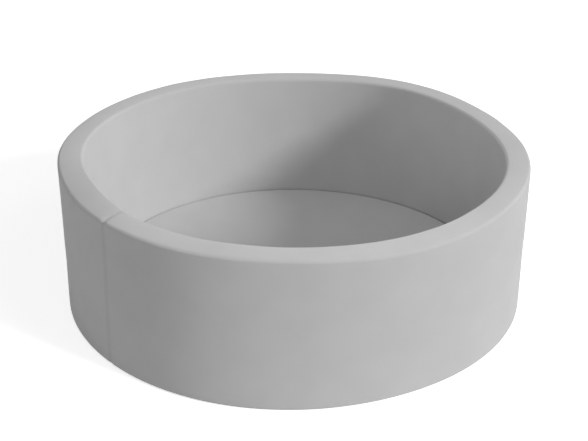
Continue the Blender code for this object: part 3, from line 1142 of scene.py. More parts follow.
@dataclass(frozen=True)
class Settling:
    """How the soft pit departs from a true ring: shallow waves, the seam's valley and a few lobes.

    Attributes:
        sizes: the pit's sizes.
        lobes: where the ring is out of round.
        wall_waves: the waves in the wall.
        wall_calm: the heights between which those waves begin, over the foot.
        seam_depth: how deep the cross seam's line draws the cover in.
        seam_reach: how far that line reaches to each side.
        valley_depth: how deep the broad valley along the seam is.
        valley_reach: how far the valley reaches to each side.
        dent: how much deeper the valley is where it passes over the rim's outer edge.
        dent_reach: how far the dent reaches along the seam.
        pucker: the height of the puckers that the seam's thread draws.
        pucker_length: the length of those puckers.
        pucker_reach: how far they reach to each side.
        pucker_place: where they are read in the noise.
        foam_clearance: how much lower the foam is under the seam.
        foam_reach: how far the seam presses the foam in to each side.
        floor_waves: the waves in the floor.
        floor_calm: the distances from the wall between which those waves begin.
        zip_calm: the heights between which the wall begins to be out of round, over the zip.
        centre_calm: how far out from the middle the panels are true, as a share of the inner radius.
    """

    sizes: PitSizes
    lobes: tuple[Lobe, ...] = ()
    wall_waves: Waves = Waves(0.0010, 0.14, 2.7, 0.35, (7.3, 1.9, 4.4))
    wall_calm: Span = (0.025, 0.080)
    seam_depth: float = 0.0003
    seam_reach: float = 0.0008
    valley_depth: float = 0.0006
    valley_reach: float = 0.0060
    dent: float = 0.0012
    dent_reach: float = 0.010
    pucker: float = 0.00012
    pucker_length: float = 0.026
    pucker_reach: float = 0.016
    pucker_place: Place = (3.1, 8.2, 0.7)
    foam_clearance: float = 0.0006
    foam_reach: float = 0.009
    floor_waves: Waves = Waves(0.0011, 0.17, 2.3, 0.4, (2.2, 5.1, 0.4))
    floor_calm: Span = (0.004, 0.060)
    zip_calm: Span = (0.040, 0.110)
    centre_calm: float = 0.6

    def wall(self, point: Vector) -> float:
        """The outward shift of the wall by its waves, which has none near the foot."""
        return smooth_share(point.z, *self.wall_calm) * self.wall_waves.at(point)

    def beside_seam(self, point: Vector) -> float:
        """How far a point of the true ring is from the cross seam, to either side."""
        return abs(self.sizes.from_seam(azimuth_of(point))) * point.xy.length

    def cover(self, point: Vector) -> float:
        """Finds how the cover settles: its waves, and the seam's line in its broad valley.

        Args:
            point: a point of the true cover.

        Returns:
            The outward shift there.
        """
        away = self.beside_seam(point)
        line = self.seam_depth * math.exp(-away / self.seam_reach)
        valley = self.valley(point) * bell(away, self.valley_reach)
        along = noise.noise(point / self.pucker_length + Vector(self.pucker_place))
        pucker = self.pucker * along * bell(away, self.pucker_reach)
        return self.wall(point) - line - valley + pucker

    def valley(self, point: Vector) -> float:
        """Finds how deep the valley along the seam is, which is deeper at the rim's outer edge.

        Args:
            point: a point of the true cover or foam.

        Returns:
            The valley's depth there.
        """
        edge = (self.sizes.outer_radius, self.sizes.height)
        over = math.dist((point.xy.length, point.z), edge) - self.sizes.rim_outer_round / 2
        return self.valley_depth + self.dent * bell(over, self.dent_reach)

    def foam(self, point: Vector) -> float:
        """The outward shift of the wall's foam, which the seam presses in broadly."""
        depth = self.seam_depth + self.valley(point) + self.foam_clearance
        return self.wall(point) - depth * bell(self.beside_seam(point), self.foam_reach)

    def floor(self, point: Vector) -> float:
        """The upward shift of the floor panel and the mat by their waves, with none at the wall."""
        inside = self.sizes.floor_edge_radius - point.xy.length
        return smooth_share(inside, *self.floor_calm) * self.floor_waves.at(point)

    def placed(self, point: Vector) -> Vector:
        """Finds where a point lies on the pit, out of round as it is.

        Args:
            point: a point of the true ring.

        Returns:
            Its place on the pit.
        """
        radius = point.xy.length
        if radius < 10 * SAME_PLACE:
            return point.copy()
        s = self.sizes
        azimuth = azimuth_of(point)
        rise = smooth_share(point.z, 0.0, s.height)
        across = min(max((radius - s.inner_radius) / s.wall, 0.0), 1.0)
        shifts = [lobe.shift(azimuth, rise, across) for lobe in self.lobes]
        out, up = sum(shift[0] for shift in shifts), sum(shift[1] for shift in shifts)
        beside = smooth_share(s.away_from_zip(azimuth), s.shut_half_angle, s.pressed_half_angle)
        free = max(beside, smooth_share(point.z, *self.zip_calm))
        reach = smooth_share(radius, self.centre_calm * s.inner_radius, s.inner_radius)
        factor = 1 + out * free * reach / radius
        return Vector((point.x * factor, point.y * factor, point.z + up))

    def settled(self, bm: bmesh.types.BMesh, turn: Round, section: Section, shift: Shift) -> None:
        """Moves each vertex of a spun line to its place on the section at its azimuth, and settles it.

        Args:
            bm: the spun bmesh.
            turn: the way round that it was spun.
            section: the section's line at an azimuth.
            shift: how far a point moves along the section's normal.
        """
        row = bm.verts.layers.int["row"]
        azimuths = turn.azimuths()
        lines: dict[int, tuple[Line, Line]] = {}
        for vert in bm.verts:
            step = turn.step_of(vert.co)
            azimuth = azimuths[step]
            if step not in lines:
                line = section(azimuth)
                lines[step] = (line, normals_of(line))
            (radius, height), (out, up) = (part[vert[row]] for part in lines[step])
            length = shift(on_ring(radius, height, azimuth))
            vert.co = self.placed(on_ring(radius + out * length, height + up * length, azimuth))


@dataclass(frozen=True)
class Cover:
    """The sewn cover: a sleeve over the wall, a floor panel and an underside panel.

    Attributes:
        sizes: the pit's sizes.
        settling: how its cloth departs from a true ring.
        steps: the steps round the ring.
        foot_steps: the steps of each curve at the foot.
        wall_rows: the rows up the outer wall.
        inner_rows: the rows down the inner wall.
        rim_steps: the steps of each curve of the rim.
        top_rows: the rows across the rim's top.
        floor_steps: the steps round the floor panel.
        floor_rows: the rows of the floor panel, from its middle to its edge.
        turned_rows: the rows of its turned edge.
        underside_rows: the rows of the underside panel.
        crown: how far the rim's top rises in its middle.
        stitch_pitch: the length of a stitch and the space after it.
        stitch_length: the length of a stitch.
        stitch_width: the width of a stitch.
        stitch_sides: the sides of a stitch.
        stitch_rings: the steps along it.
        stitch_inset: how far the stitches are from the cover's edge.
        stitched_past: how far the stitches go on past the zip's open part, in radians.
    """

    sizes: PitSizes
    settling: Settling
    steps: int = 600
    foot_steps: int = 6
    wall_rows: int = 25
    inner_rows: int = 21
    rim_steps: int = 8
    top_rows: int = 6
    floor_steps: int = 240
    floor_rows: int = 40
    turned_rows: int = 3
    underside_rows: int = 24
    crown: float = 0.0007
    stitch_pitch: float = 0.0032
    stitch_length: float = 0.0026
    stitch_width: float = 0.0005
    stitch_sides: int = 8
    stitch_rings: int = 5
    stitch_inset: float = 0.0016
    stitched_past: float = math.radians(1.0)

    def build(self) -> None:
        """Makes and seats the cover's panels and its stitching."""
        fabric = PileFabric("cover_fabric", stitch_pitch=self.stitch_pitch).material()
        self.sleeve(fabric)
        self.floor(PileFabric("floor_fabric").material())
        self.underside(BackingCloth().material())
        thread = SewingThread().material()
        for side in Side:
            self.stitching(side, thread)

    def sewn_foot(self) -> Line:
        """The sleeve's foot where it is sewn: round the foam's edge and in under it.

        Returns:
            The points, from the hem to the wall.
        """
        s = self.sizes
        turn = s.outer_radius - s.foot_round
        centre = (turn, s.under_cover + s.foot_round)
        corner = quarter(centre, (0.0, -s.foot_round), (s.foot_round, 0.0), self.foot_steps)
        return [(turn - s.hem, s.under_cover), *corner]

    def zipped_foot(self, edge: float) -> Line:
        """The sleeve's foot above the zip: flat on the tape from its edge up, then out to the wall.

        Args:
            edge: the height of the edge.

        Returns:
            The points, from the edge to the wall.
        """
        s = self.sizes
        centre = (s.lap_radius, edge + s.lap + s.upper_lip)
        out = (s.outer_radius - s.lap_radius, 0.0)
        return [(s.lap_radius, edge), *quarter(centre, (0.0, -s.upper_lip), out, self.foot_steps)]

    def sleeve_line(self, azimuth: float) -> Line:
        """The sleeve's section, from its foot over the rim to the inner wall's sewn edge.

        Args:
            azimuth: where the section is.

        Returns:
            The section's points.
        """
        s = self.sizes
        zipped = self.zipped_foot(s.zip_height + s.edge_over_zip(azimuth))
        foot = blended(zipped, self.sewn_foot(), s.sewn_share(azimuth))
        outer = (s.outer_radius - s.rim_outer_round, s.height - s.rim_outer_round)
        inner = (s.inner_radius + s.rim_inner_round, s.height - s.rim_inner_round)
        out = quarter(outer, (s.rim_outer_round, 0.0), (0.0, s.rim_outer_round), self.rim_steps)
        back = quarter(inner, (0.0, s.rim_inner_round), (-s.rim_inner_round, 0.0), self.rim_steps)
        end = (s.inner_radius, s.floor_height - s.floor_seam_allowance)
        wall = between(foot[-1], out[0], self.wall_rows)
        top = crowned(out[-1], back[0], self.top_rows, self.crown)
        inside = between(back[-1], end, self.inner_rows)
        return [*foot, *wall, *out, *top, *back, *inside, end]

    def sleeve(self, fabric: bpy.types.Material) -> None:
        """Makes the outer wall, rim and inner wall, in one panel with one cross seam.

        Args:
            fabric: the cover's fabric.
        """
        s = self.sizes
        turn = Round(self.steps, start=s.seam_azimuth, seam=s.seam_azimuth)
        plain = self.sleeve_line(s.seam_azimuth)
        bm = turn.spun(plain)
        self.settling.settled(bm, turn, self.sleeve_line, self.settling.cover)
        lay_cloth_uv(bm, plain, s.seam_azimuth, s.outer_radius)
        face_out(bm, Vector((1.0, 0.0, 0.0)))
        piece = thickened(piece_of("sleeve_cloth", bm, fabric), s.fabric)
        seated(piece, Body.PIT, Slot.COVER, "cover_sleeve")

    def floor_line(self, azimuth: float) -> Line:
        """The floor panel's section, from its middle to its turned edge.

        Args:
            azimuth: where the section is; it is the same all round.

        Returns:
            The section's points.
        """
        s = self.sizes
        turn = s.floor_seam_round
        centre = (s.floor_edge_radius - turn, s.floor_edge_height - turn)
        corner = quarter(centre, (0.0, turn), (turn, 0.0), self.foot_steps)
        middle = (0.0, s.floor_height)
        end = (s.floor_edge_radius, s.floor_height - s.floor_seam_allowance)
        top = crowned(middle, corner[0], self.floor_rows, s.floor_fall / 4)
        return [middle, *top, *corner, *between(corner[-1], end, self.turned_rows), end]

    def floor(self, fabric: bpy.types.Material) -> None:
        """Makes the disc inside the pit, its edge turned down along the foot of the inner wall.

        Args:
            fabric: the cover's fabric.
        """
        s = self.sizes
        turn = Round(self.floor_steps)
        plain = self.floor_line(0.0)
        bm = turn.spun(plain)
        self.settling.settled(bm, turn, self.floor_line, lambda point: -self.settling.floor(point))
        merge_doubles(bm)
        lay_cloth_uv(bm, plain, 0.0, s.floor_edge_radius)
        face_out(bm, UP)
        piece = thickened(piece_of("floor_cloth", bm, fabric), s.fabric)
        seated(piece, Body.PIT, Slot.COVER, "cover_floor")

    def underside_line(self, azimuth: float) -> Line:
        """The underside panel's section, from its middle to its edge at the zip or in the sewn foot.

        Args:
            azimuth: where the section is.

        Returns:
            The section's points.
        """
        s = self.sizes
        edge = s.zip_height - s.edge_over_zip(azimuth)
        half = (edge - s.lap) / 2
        centre = (s.lap_radius, half)
        lower = quarter(centre, (0.0, -half), (s.lower_lip, 0.0), self.foot_steps)
        upper = quarter(centre, (s.lower_lip, 0.0), (0.0, half), self.foot_steps)
        lip = [*lower, *upper[1:], (s.lap_radius, edge)]
        outer = s.outer_radius - s.foot_round
        last = len(lip) - 1
        hem = [(outer - s.hem * (last - index) / last, 0.0) for index in range(len(lip))]
        rim = blended(lip, hem, s.sewn_share(azimuth))
        middle = (0.0, 0.0)
        return [middle, *between(middle, rim[0], self.underside_rows), *rim]

    def underside(self, fabric: bpy.types.Material) -> None:
        """Makes the disc that the pit stands on.

        Args:
            fabric: the backing cloth.
        """
        s = self.sizes
        turn = Round(self.steps)
        plain = self.underside_line(s.seam_azimuth)
        bm = turn.spun(plain)
        self.settling.settled(bm, turn, self.underside_line, lambda point: 0.0)
        merge_doubles(bm)
        face_out(bm, -UP)
        piece = thickened(piece_of("underside_cloth", bm, fabric), s.fabric)
        seated(piece, Body.PIT, Slot.UNDERSIDE, "cover_underside")

    def stitching(self, side: Side, thread: bpy.types.Material) -> None:
        """The row of stitches that holds the cover's edge on one of the zip's tapes.

        Args:
            side: the half of the zip.
            thread: the thread's material.
        """
        s = self.sizes
        sweep = 2 * (s.open_half_angle + self.stitched_past)
        count = round(sweep * s.lap_radius / self.stitch_pitch)
        bm = bmesh.new()
        bmesh.ops.create_uvsphere(
            bm, u_segments=self.stitch_sides, v_segments=self.stitch_rings, radius=1.0
        )
        half = (self.stitch_width / 2, self.stitch_length / 2, self.stitch_width / 2)
        bmesh.ops.scale(bm, vec=half, verts=bm.verts)
        height = s.zip_height + side.value * (s.half_opening + self.stitch_inset)
        bmesh.ops.translate(bm, verts=bm.verts, vec=(s.lap_radius, 0.0, height))
        start = Matrix.Rotation(s.zip_azimuth - sweep / 2, 3, "Z")
        bmesh.ops.rotate(bm, verts=bm.verts, cent=(0.0, 0.0, 0.0), matrix=start)
        repeat_round(bm, sweep, count)
        for vert in bm.verts:
            vert.co.z += side.value * (s.edge_over_zip(azimuth_of(vert.co)) - s.half_opening)
        bmesh.ops.recalc_face_normals(bm, faces=bm.faces)
        seated(piece_of(f"lap_stitches_{side.word}", bm, thread), Body.PIT, Slot.COVER)


@dataclass(frozen=True)
class FoamCore:
    """The foam inside the cover: a strip bent into the wall, and the floor's mat.

    Attributes:
        sizes: the pit's sizes.
        settling: how the foam departs from a true ring.
        cover: the cover, whose rows up the wall and crown the foam follows.
        steps: the steps round the ring.
        corner_steps: the steps of the mat's upper edge.
        under_rows: the rows of the mat's underside.
    """

    sizes: PitSizes
    settling: Settling
    cover: Cover
    steps: int = 420
    corner_steps: int = 5
    under_rows: int = 12

    def build(self) -> None:
        """Makes and seats the wall's foam and the mat."""
        foam = OpenCellFoam().material()
        self.wall(foam)
        self.mat(foam)

    def wall_line(self, azimuth: float) -> Line:
        """The wall foam's closed section, pressed in behind the zip.

        Args:
            azimuth: where the section is.

        Returns:
            The section's points.
        """
        s = self.sizes
        steps = self.cover.foot_steps
        outer = s.outer_radius - s.under_cover
        inner = s.inner_radius + s.under_cover
        top = s.height - s.under_cover
        bottom = 2 * s.under_cover
        foot = s.foot_round - s.under_cover
        rim_outer = s.rim_outer_round - s.under_cover
        rim_inner = s.rim_inner_round - s.under_cover
        pressed = s.outer_radius - s.foam_behind_zip
        knee = (outer, s.zip_height + s.half_opening + 2 * s.lap + s.upper_lip)
        free = [*quarter((outer - foot, bottom + foot), (0.0, -foot), (foot, 0.0), steps), knee]
        first, last = (pressed, bottom), (pressed, s.zip_height + s.tape_end + s.gap)
        held = [first, *between(first, last, steps), last, knee]
        share = smooth_share(s.away_from_zip(azimuth), s.sewn_half_angle, s.pressed_half_angle)
        out = quarter((outer - rim_outer, top - rim_outer), (rim_outer, 0.0), (0.0, rim_outer), steps)
        back = quarter((inner + rim_inner, top - rim_inner), (0.0, rim_inner), (-rim_inner, 0.0), steps)
        start = (inner, bottom)
        return [
            start,
            *blended(held, free, share),
            *between(knee, out[0], self.cover.wall_rows),
            *out,
            *crowned(out[-1], back[0], self.cover.top_rows, self.cover.crown),
            *back,
            *between(back[-1], start, self.cover.inner_rows),
        ]

    def wall(self, foam: bpy.types.Material) -> None:
        """Makes the foam strip, bent into a ring so that its two ends butt at +X.

        Args:
            foam: the foam.
        """
        s = self.sizes
        joint = s.gap / s.inner_radius
        turn = Round(self.steps, start=joint / 2, sweep=TURN - joint, seam=s.seam_azimuth)
        bm = turn.spun(self.wall_line(s.seam_azimuth), closed=True)
        self.settling.settled(bm, turn, self.wall_line, self.settling.foam)
        close_ends(bm)
        piece = seated(piece_of("wall_foam", bm, foam), Body.PIT, Slot.FOAM, "foam_wall")

    def mat_line(self, azimuth: float) -> Line:
        """The mat's section, from its underside's middle round its edge to its top's middle.

        Args:
            azimuth: where the section is; it is the same all round.

        Returns:
            The section's points.
        """
        s = self.sizes
        radius = s.floor_edge_radius - s.under_cover
        turn = s.floor_seam_round - s.under_cover
        edge_top = s.mat_top - s.floor_fall
        centre = (radius - turn, edge_top - turn)
        corner = quarter(centre, (turn, 0.0), (0.0, turn), self.corner_steps)
        low, high = (0.0, s.under_cover), (0.0, s.mat_top)
        edge = (radius, s.under_cover)
        top = crowned(corner[-1], high, self.cover.floor_rows, s.floor_fall / 4)
        return [low, *between(low, edge, self.under_rows), edge, *corner, *top, high]

    def mat_shift(self, point: Vector) -> float:
        """The upward shift of the mat, whole at its top and none at its underside."""
        share = smooth_share(point.z, self.sizes.under_cover, self.sizes.mat_top)
        return self.settling.floor(point) * share

    def mat(self, foam: bpy.types.Material) -> None:
        """Makes the foam disc under the floor panel, whose top follows the panel's waves.

        Args:
            foam: the foam.
        """
        turn = Round(self.cover.floor_steps)
        bm = turn.spun(self.mat_line(0.0))
        self.settling.settled(bm, turn, self.mat_line, self.mat_shift)
        merge_doubles(bm)
        bmesh.ops.recalc_face_normals(bm, faces=bm.faces)
        piece = seated(piece_of("mat_foam", bm, foam), Body.PIT, Slot.FOAM, "foam_mat")


def thicken(bm: bmesh.types.BMesh, faces: list[bmesh.types.BMFace], way: Vector) -> None:
    """Draws flat faces out into a closed solid.

    Args:
        bm: the shape that the faces are in.
        faces: the faces.
        way: how far they are drawn out, and which way.
    """
    raised = bmesh.ops.extrude_face_region(bm, geom=faces, use_keep_orig=True)["geom"]
    moved = [part for part in raised if isinstance(part, bmesh.types.BMVert)]
    bmesh.ops.translate(bm, verts=moved, vec=way)
    bmesh.ops.recalc_face_normals(bm, faces=bm.faces)


def extruded(outline: Line, low: float, high: float, along: int) -> bmesh.types.BMesh:
    """A closed prism.

    Args:
        outline: its outline's points on the two other axes.
        low: where it starts.
        high: where it ends.
        along: the axis that it is drawn out along, 0, 1 or 2.

    Returns:
        The new bmesh.
    """
    bm = bmesh.new()
    verts = []
    for point in outline:
        place = list(point)
        place.insert(along, low)
        verts.append(bm.verts.new(place))
    way = Vector((0.0, 0.0, 0.0))
    way[along] = high - low
    thicken(bm, [bm.faces.new(verts)], way)
    return bm


def soften(bm: bmesh.types.BMesh, width: float, segments: int, above: float = 30.0) -> None:
    """Rounds the edges of a small hard piece.

    Args:
        bm: the piece.
        width: the width of the rounding.
        segments: its number of steps.
        above: the angle in degrees above which an edge is rounded.
    """
    edges = [e for e in bm.edges if e.calc_face_angle(0.0) > math.radians(above)]
    bmesh.ops.bevel(
        bm, geom=edges, offset=width, segments=segments, profile=0.5, affect="EDGES", material=-1,
        clamp_overlap=True,
    )


def mirrored(outline: Line) -> Line:
    """The outline's points, then the same points mirrored over x, so that they close a shape."""
    return outline + [(x, -z) for x, z in reversed(outline)]


def combined(
    name: str, bm: bmesh.types.BMesh, others: list[Cut], material: bpy.types.Material
) -> bpy.types.Object:
    """Makes a piece that other shapes are cut from or joined to.

    Args:
        name: the piece's name.
        bm: its own shape.
        others: the other shapes, each with DIFFERENCE or UNION.
        material: its material.

    Returns:
        The piece, with its shape applied.
    """
    piece = piece_of(name, bm, material)
    helpers = []
    for index, (shape, operation) in enumerate(others):
        helper = piece_of(f"{name}_helper_{index}", shape, material)
        boolean = piece.modifiers.new(helper.name, "BOOLEAN")
        boolean.operation = operation
        boolean.object = helper
        helpers.append(helper)
    evaluated = piece.evaluated_get(bpy.context.evaluated_depsgraph_get())
    mesh = bpy.data.meshes.new_from_object(evaluated)
    piece.modifiers.clear()
    plain = piece.data
    piece.data = mesh
    mesh.shade_smooth()
    mesh.set_sharp_from_angle(angle=SHARP_ABOVE)
    bpy.data.meshes.remove(plain)
    mesh.name = name
    for helper in helpers:
        bpy.data.objects.remove(helper, do_unlink=True)
    return piece


@dataclass(frozen=True)
class Zip:
    """The zip: two woven tapes, two rows of moulded teeth, the stops, and the slider with its pull.

    The slider and the pull are drawn at the zip's middle, where x runs to its closed end, y away from
    the wall and z up, and are then turned to their place.

    Attributes:
        sizes: the pit's sizes.
        pitch: the pitch of a row of teeth.
        reach_in: how near to the chain's middle line the tapes reach, under the teeth.
        cord: the thickness of the corded edge that the teeth hold.
        tape_steps: the steps along a tape.
        curve_steps: the steps of each curve of the corded edge and of the bail.
        round_steps: the steps of the rounding of stops, slider and pull.
        tooth_round: the rounding of a tooth's edges.
        stop_length: the length of a stop.
        stop_round: the rounding of its edges.
        slider_length: the length of the slider.
        plate: the thickness of its plates.
        rim: the thickness of its rims.
        flare: how much wider its front is.
        corner: the cut of its corners.
        slider_round: the rounding of its edges.
        channel_clearance: the space over and under the teeth in it.
        side_clearance: the space beside the teeth in it.
        slot_clearance: the space beside each tape in its slot.
        neck_length: the length of its neck.
        neck_half_width: half the width of its neck.
        bail_length: the length of its bail.
        bail_width: the width of its bail.
        bail_thickness: the thickness of its bail.
        bail_round: the rounding of the bail's edges.
        pull_length: the length of the pull from its axis.
        pull_thickness: the thickness of the pull.
        pull_round: the rounding of its edges.
        pull_window: the length of the pull's window.
        pull_corner: the cut of the pull's corners.
        pull_taper: how much narrower the pull is at its tip, on each side.
        pull_border: the width of the flat border round its sunk face.
        pull_sunk: how deep that face is sunk.
        pull_clearance: the space between the pull and the slider.
        pull_side_clearance: the space beside the bail in the pull's window.
    """

    sizes: PitSizes
    pitch: float = 0.0040
    reach_in: float = 0.0015
    cord: float = 0.0012
    tape_steps: int = 180
    curve_steps: int = 4
    round_steps: int = 3
    tooth_round: float = 0.00022
    stop_length: float = 0.0030
    stop_round: float = 0.0006
    slider_length: float = 0.0160
    plate: float = 0.0012
    rim: float = 0.0012
    flare: float = 0.0012
    corner: float = 0.0010
    slider_round: float = 0.0005
    channel_clearance: float = 0.0003
    side_clearance: float = 0.0004
    slot_clearance: float = 0.0004
    neck_length: float = 0.0046
    neck_half_width: float = 0.0012
    bail_length: float = 0.0090
    bail_width: float = 0.0026
    bail_thickness: float = 0.0012
    bail_round: float = 0.0003
    pull_length: float = 0.0240
    pull_thickness: float = 0.0016
    pull_round: float = 0.00045
    pull_window: float = 0.0060
    pull_corner: float = 0.0020
    pull_taper: float = 0.0004
    pull_border: float = 0.0007
    pull_sunk: float = 0.00025
    pull_clearance: float = 0.0004
    pull_side_clearance: float = 0.0009

    @property
    def closed_end(self) -> float:
        """The azimuth of the chain's closed end."""
        return self.sizes.zip_azimuth - self.sizes.zip_half_angle

    @property
    def channel_half_height(self) -> float:
        """Half the slider's channel from plate to plate."""
        return self.sizes.tooth_thickness / 2 + self.channel_clearance

    @property
    def channel_half_width(self) -> float:
        """Half the width of the slider's channel."""
        return self.sizes.chain_half_width + self.side_clearance

    @property
    def slider_half_height(self) -> float:
        """Half the slider's height, without its bail."""
        return self.channel_half_height + self.plate

    @property
    def slider_half_width(self) -> float:
        """Half the slider's width at its narrow end."""
        return self.channel_half_width + self.rim

    @property
    def neck_tip(self) -> float:
        """Where on the slider's length its neck starts."""
        return self.slider_length / 2 - self.neck_length

    @property
    def pull_axis(self) -> float:
        """How far the pull's axis is from the chain's middle."""
        return self.slider_half_height + self.pull_clearance + self.pull_thickness / 2

    @property
    def slider_azimuth(self) -> float:
        """The slider's azimuth at rest, at the closed end."""
        return self.closed_end + (self.neck_tip - self.sizes.gap) / self.sizes.zip_radius

    def put(self, bm: bmesh.types.BMesh, azimuth: float, out: float = 0.0) -> bmesh.types.BMesh:
        """Moves a shape drawn at the zip's middle to an azimuth, and further out from the chain.

        Args:
            bm: the shape, drawn about the origin.
            azimuth: its azimuth on the chain.
            out: how far it is out from the chain's middle.

        Returns:
            The same shape, moved.
        """
        s = self.sizes
        turn = Matrix.Rotation(azimuth - s.zip_azimuth, 4, "Z")
        at_middle = Matrix.Rotation(s.zip_azimuth - math.pi / 2, 4, "Z")
        shift = Matrix.Translation((0.0, s.zip_radius + out, s.zip_height))
        bmesh.ops.transform(bm, matrix=turn @ at_middle @ shift, verts=bm.verts)
        return bm

    def build(self) -> None:
        """Makes and seats every piece of the zip."""
        tape = WovenTape().material()
        plastic = MouldedPlastic().material()
        metal = SatinMetal().material()
        for side in Side:
            self.tape(side, tape)
            self.teeth(side, plastic)
        self.stops(plastic)
        self.slider(metal)
        self.pull(metal)

    def tape_line(self, side: Side) -> Line:
        """A tape's closed section, with the corded edge that the teeth hold.

        Args:
            side: the half of the zip.

        Returns:
            The section's points.
        """
        s = self.sizes
        half, bead = s.tape_thickness / 2, self.cord / 2
        near, far = self.reach_in + bead, s.tape_end
        centre = (s.zip_radius, near)
        front = quarter(centre, (bead, 0.0), (0.0, -bead), self.curve_steps)
        back = quarter(centre, (0.0, -bead), (-bead, 0.0), self.curve_steps)
        line = [(s.zip_radius + half, far), (s.zip_radius + half, near + bead), *front, *back[1:]]
        line += [(s.zip_radius - half, near + bead), (s.zip_radius - half, far)]
        return [(radius, s.zip_height + side.value * height) for radius, height in line]

    def tape(self, side: Side, material: bpy.types.Material) -> None:
        """One tape of the zip.

        Args:
            side: the half of the zip.
            material: the woven tape.
        """
        s = self.sizes
        half = s.tape_half_angle
        turn = Round(self.tape_steps, start=s.zip_azimuth - half, sweep=2 * half)
        line = self.tape_line(side)
        bm = turn.spun(line, closed=True)
        lay_cloth_uv(bm, line, s.zip_azimuth, s.zip_radius)
        close_ends(bm)
        piece = piece_of(f"tape_{side.word}", bm, material)
        seated(piece, Body.PIT, Slot.TAPE, f"zip_tape_{side.word}")
        flat = (turn.sweep * s.zip_radius, s.tape_end - self.reach_in)

    def tooth_outline(self) -> Line:
        """Half of a tooth, from its root to its head.

        Returns:
            The tooth's half width and the height over the chain's middle line, at each point.
        """
        root = self.sizes.chain_half_width
        return [
            (0.00070, root),
            (0.00088, root - 0.0003),
            (0.00082, 0.0015),
            (0.00062, 0.00085),
            (0.00062, 0.00025),
            (0.00094, -0.00015),
            (0.00094, -0.00060),
            (0.00066, -0.00090),
        ]

    def teeth(self, side: Side, material: bpy.types.Material) -> None:
        """One row of teeth, moulded on its tape's corded edge and meshing with the other row.

        Args:
            side: the half of the zip.
            material: the moulded plastic.
        """
        s = self.sizes
        half = [(x, side.value * z) for x, z in self.tooth_outline()]
        outline = half + [(-x, z) for x, z in reversed(half)]
        bm = extruded(outline, -s.tooth_thickness / 2, s.tooth_thickness / 2, along=1)
        soften(bm, self.tooth_round, 1, above=80.0)
        count = round(s.zip_length / self.pitch)
        step = 2 * s.zip_half_angle / count
        self.put(bm, self.closed_end + step * (0.5 + 0.25 * side.value))
        repeat_round(bm, step * (count - 1), count - 1)
        bmesh.ops.recalc_face_normals(bm, faces=bm.faces)
        piece = piece_of(f"teeth_{side.word}", bm, material)
        seated(piece, Body.PIT, Slot.TEETH, f"zip_teeth_{side.word}")

    def stop(
        self, name: str, azimuth: float, low: float, high: float, material: bpy.types.Material
    ) -> None:
        """A moulded stop on the chain's line.

        Args:
            name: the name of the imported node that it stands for.
            azimuth: its azimuth.
            low: where it starts over the chain's middle line.
            high: where it ends.
            material: the moulded plastic.
        """
        half, deep = self.stop_length / 2, self.sizes.tooth_thickness / 2
        outline = [(-half, low), (half, low), (half, high), (-half, high)]
        bm = extruded(outline, -deep, deep, along=1)
        soften(bm, self.stop_round, self.round_steps)
        piece = piece_of(name.replace("zip_", "moulded_"), self.put(bm, azimuth), material)
        seated(piece, Body.PIT, Slot.TEETH, name)

    def stops(self, material: bpy.types.Material) -> None:
        """Makes the two top stops beside the slider's neck, and the bottom stop across both tapes.

        Args:
            material: the moulded plastic.
        """
        s = self.sizes
        side = self.neck_half_width + self.side_clearance
        top = self.slider_azimuth - (self.neck_tip + self.stop_length / 2) / s.zip_radius
        bottom = s.zip_azimuth + s.zip_half_angle + (s.gap + self.stop_length / 2) / s.zip_radius
        half = s.chain_half_width
        self.stop("zip_top_stop_upper", top, side, half, material)
        self.stop("zip_top_stop_lower", top, -half, -side, material)
        self.stop("zip_bottom_stop", bottom, -half, half, material)

    def slider_outline(self) -> Line:
        """Half of the slider's plan, from its narrow end to its wide end.

        Returns:
            The points, along the slider and up from its middle line.
        """
        front, wide = self.slider_length / 2, self.slider_half_width + self.flare
        return [
            (-front, self.slider_half_width - self.corner),
            (-front + self.corner, self.slider_half_width),
            (0.0, self.slider_half_width),
            (self.neck_tip, wide),
            (front - self.corner, wide),
            (front, wide - self.corner),
        ]

    def channel_outline(self) -> Line:
        """Half of the channel's plan, which parts round the neck at the wide end.

        Returns:
            The points, along the slider and up from its middle line.
        """
        front = self.slider_length / 2 + self.corner
        wide = self.channel_half_width + self.flare
        return [
            (-front, self.channel_half_width),
            (0.0, self.channel_half_width),
            (self.neck_tip, wide),
            (front, wide),
            (front, self.neck_half_width),
            (self.neck_tip + 2 * self.neck_half_width, self.neck_half_width),
        ]

    def bail_outline(self) -> Line:
        """The bail's side view, an arch that stands on the slider's plate.

        Returns:
            The arch's points, all round it.
        """
        foot = self.slider_half_height - self.plate / 2
        top = self.pull_axis + self.pull_thickness / 2 + self.pull_clearance + self.bail_thickness
        half, thick = self.bail_length / 2, self.bail_thickness
        inside, ceiling, turn = half - thick, top - thick, thick / 2
        outer_curve = quarter((inside, ceiling), (thick, 0.0), (0.0, thick), self.curve_steps)
        corner = (inside - turn, ceiling - turn)
        inner_curve = quarter(corner, (turn, 0.0), (0.0, turn), self.curve_steps)
        outer, inner = [(half, foot), *outer_curve], [(inside, foot), *inner_curve]
        far_outer = [(-x, y) for x, y in reversed(outer)]
        far_inner = [(-x, y) for x, y in inner]
        return [*outer, *far_outer, *far_inner, *reversed(inner)]

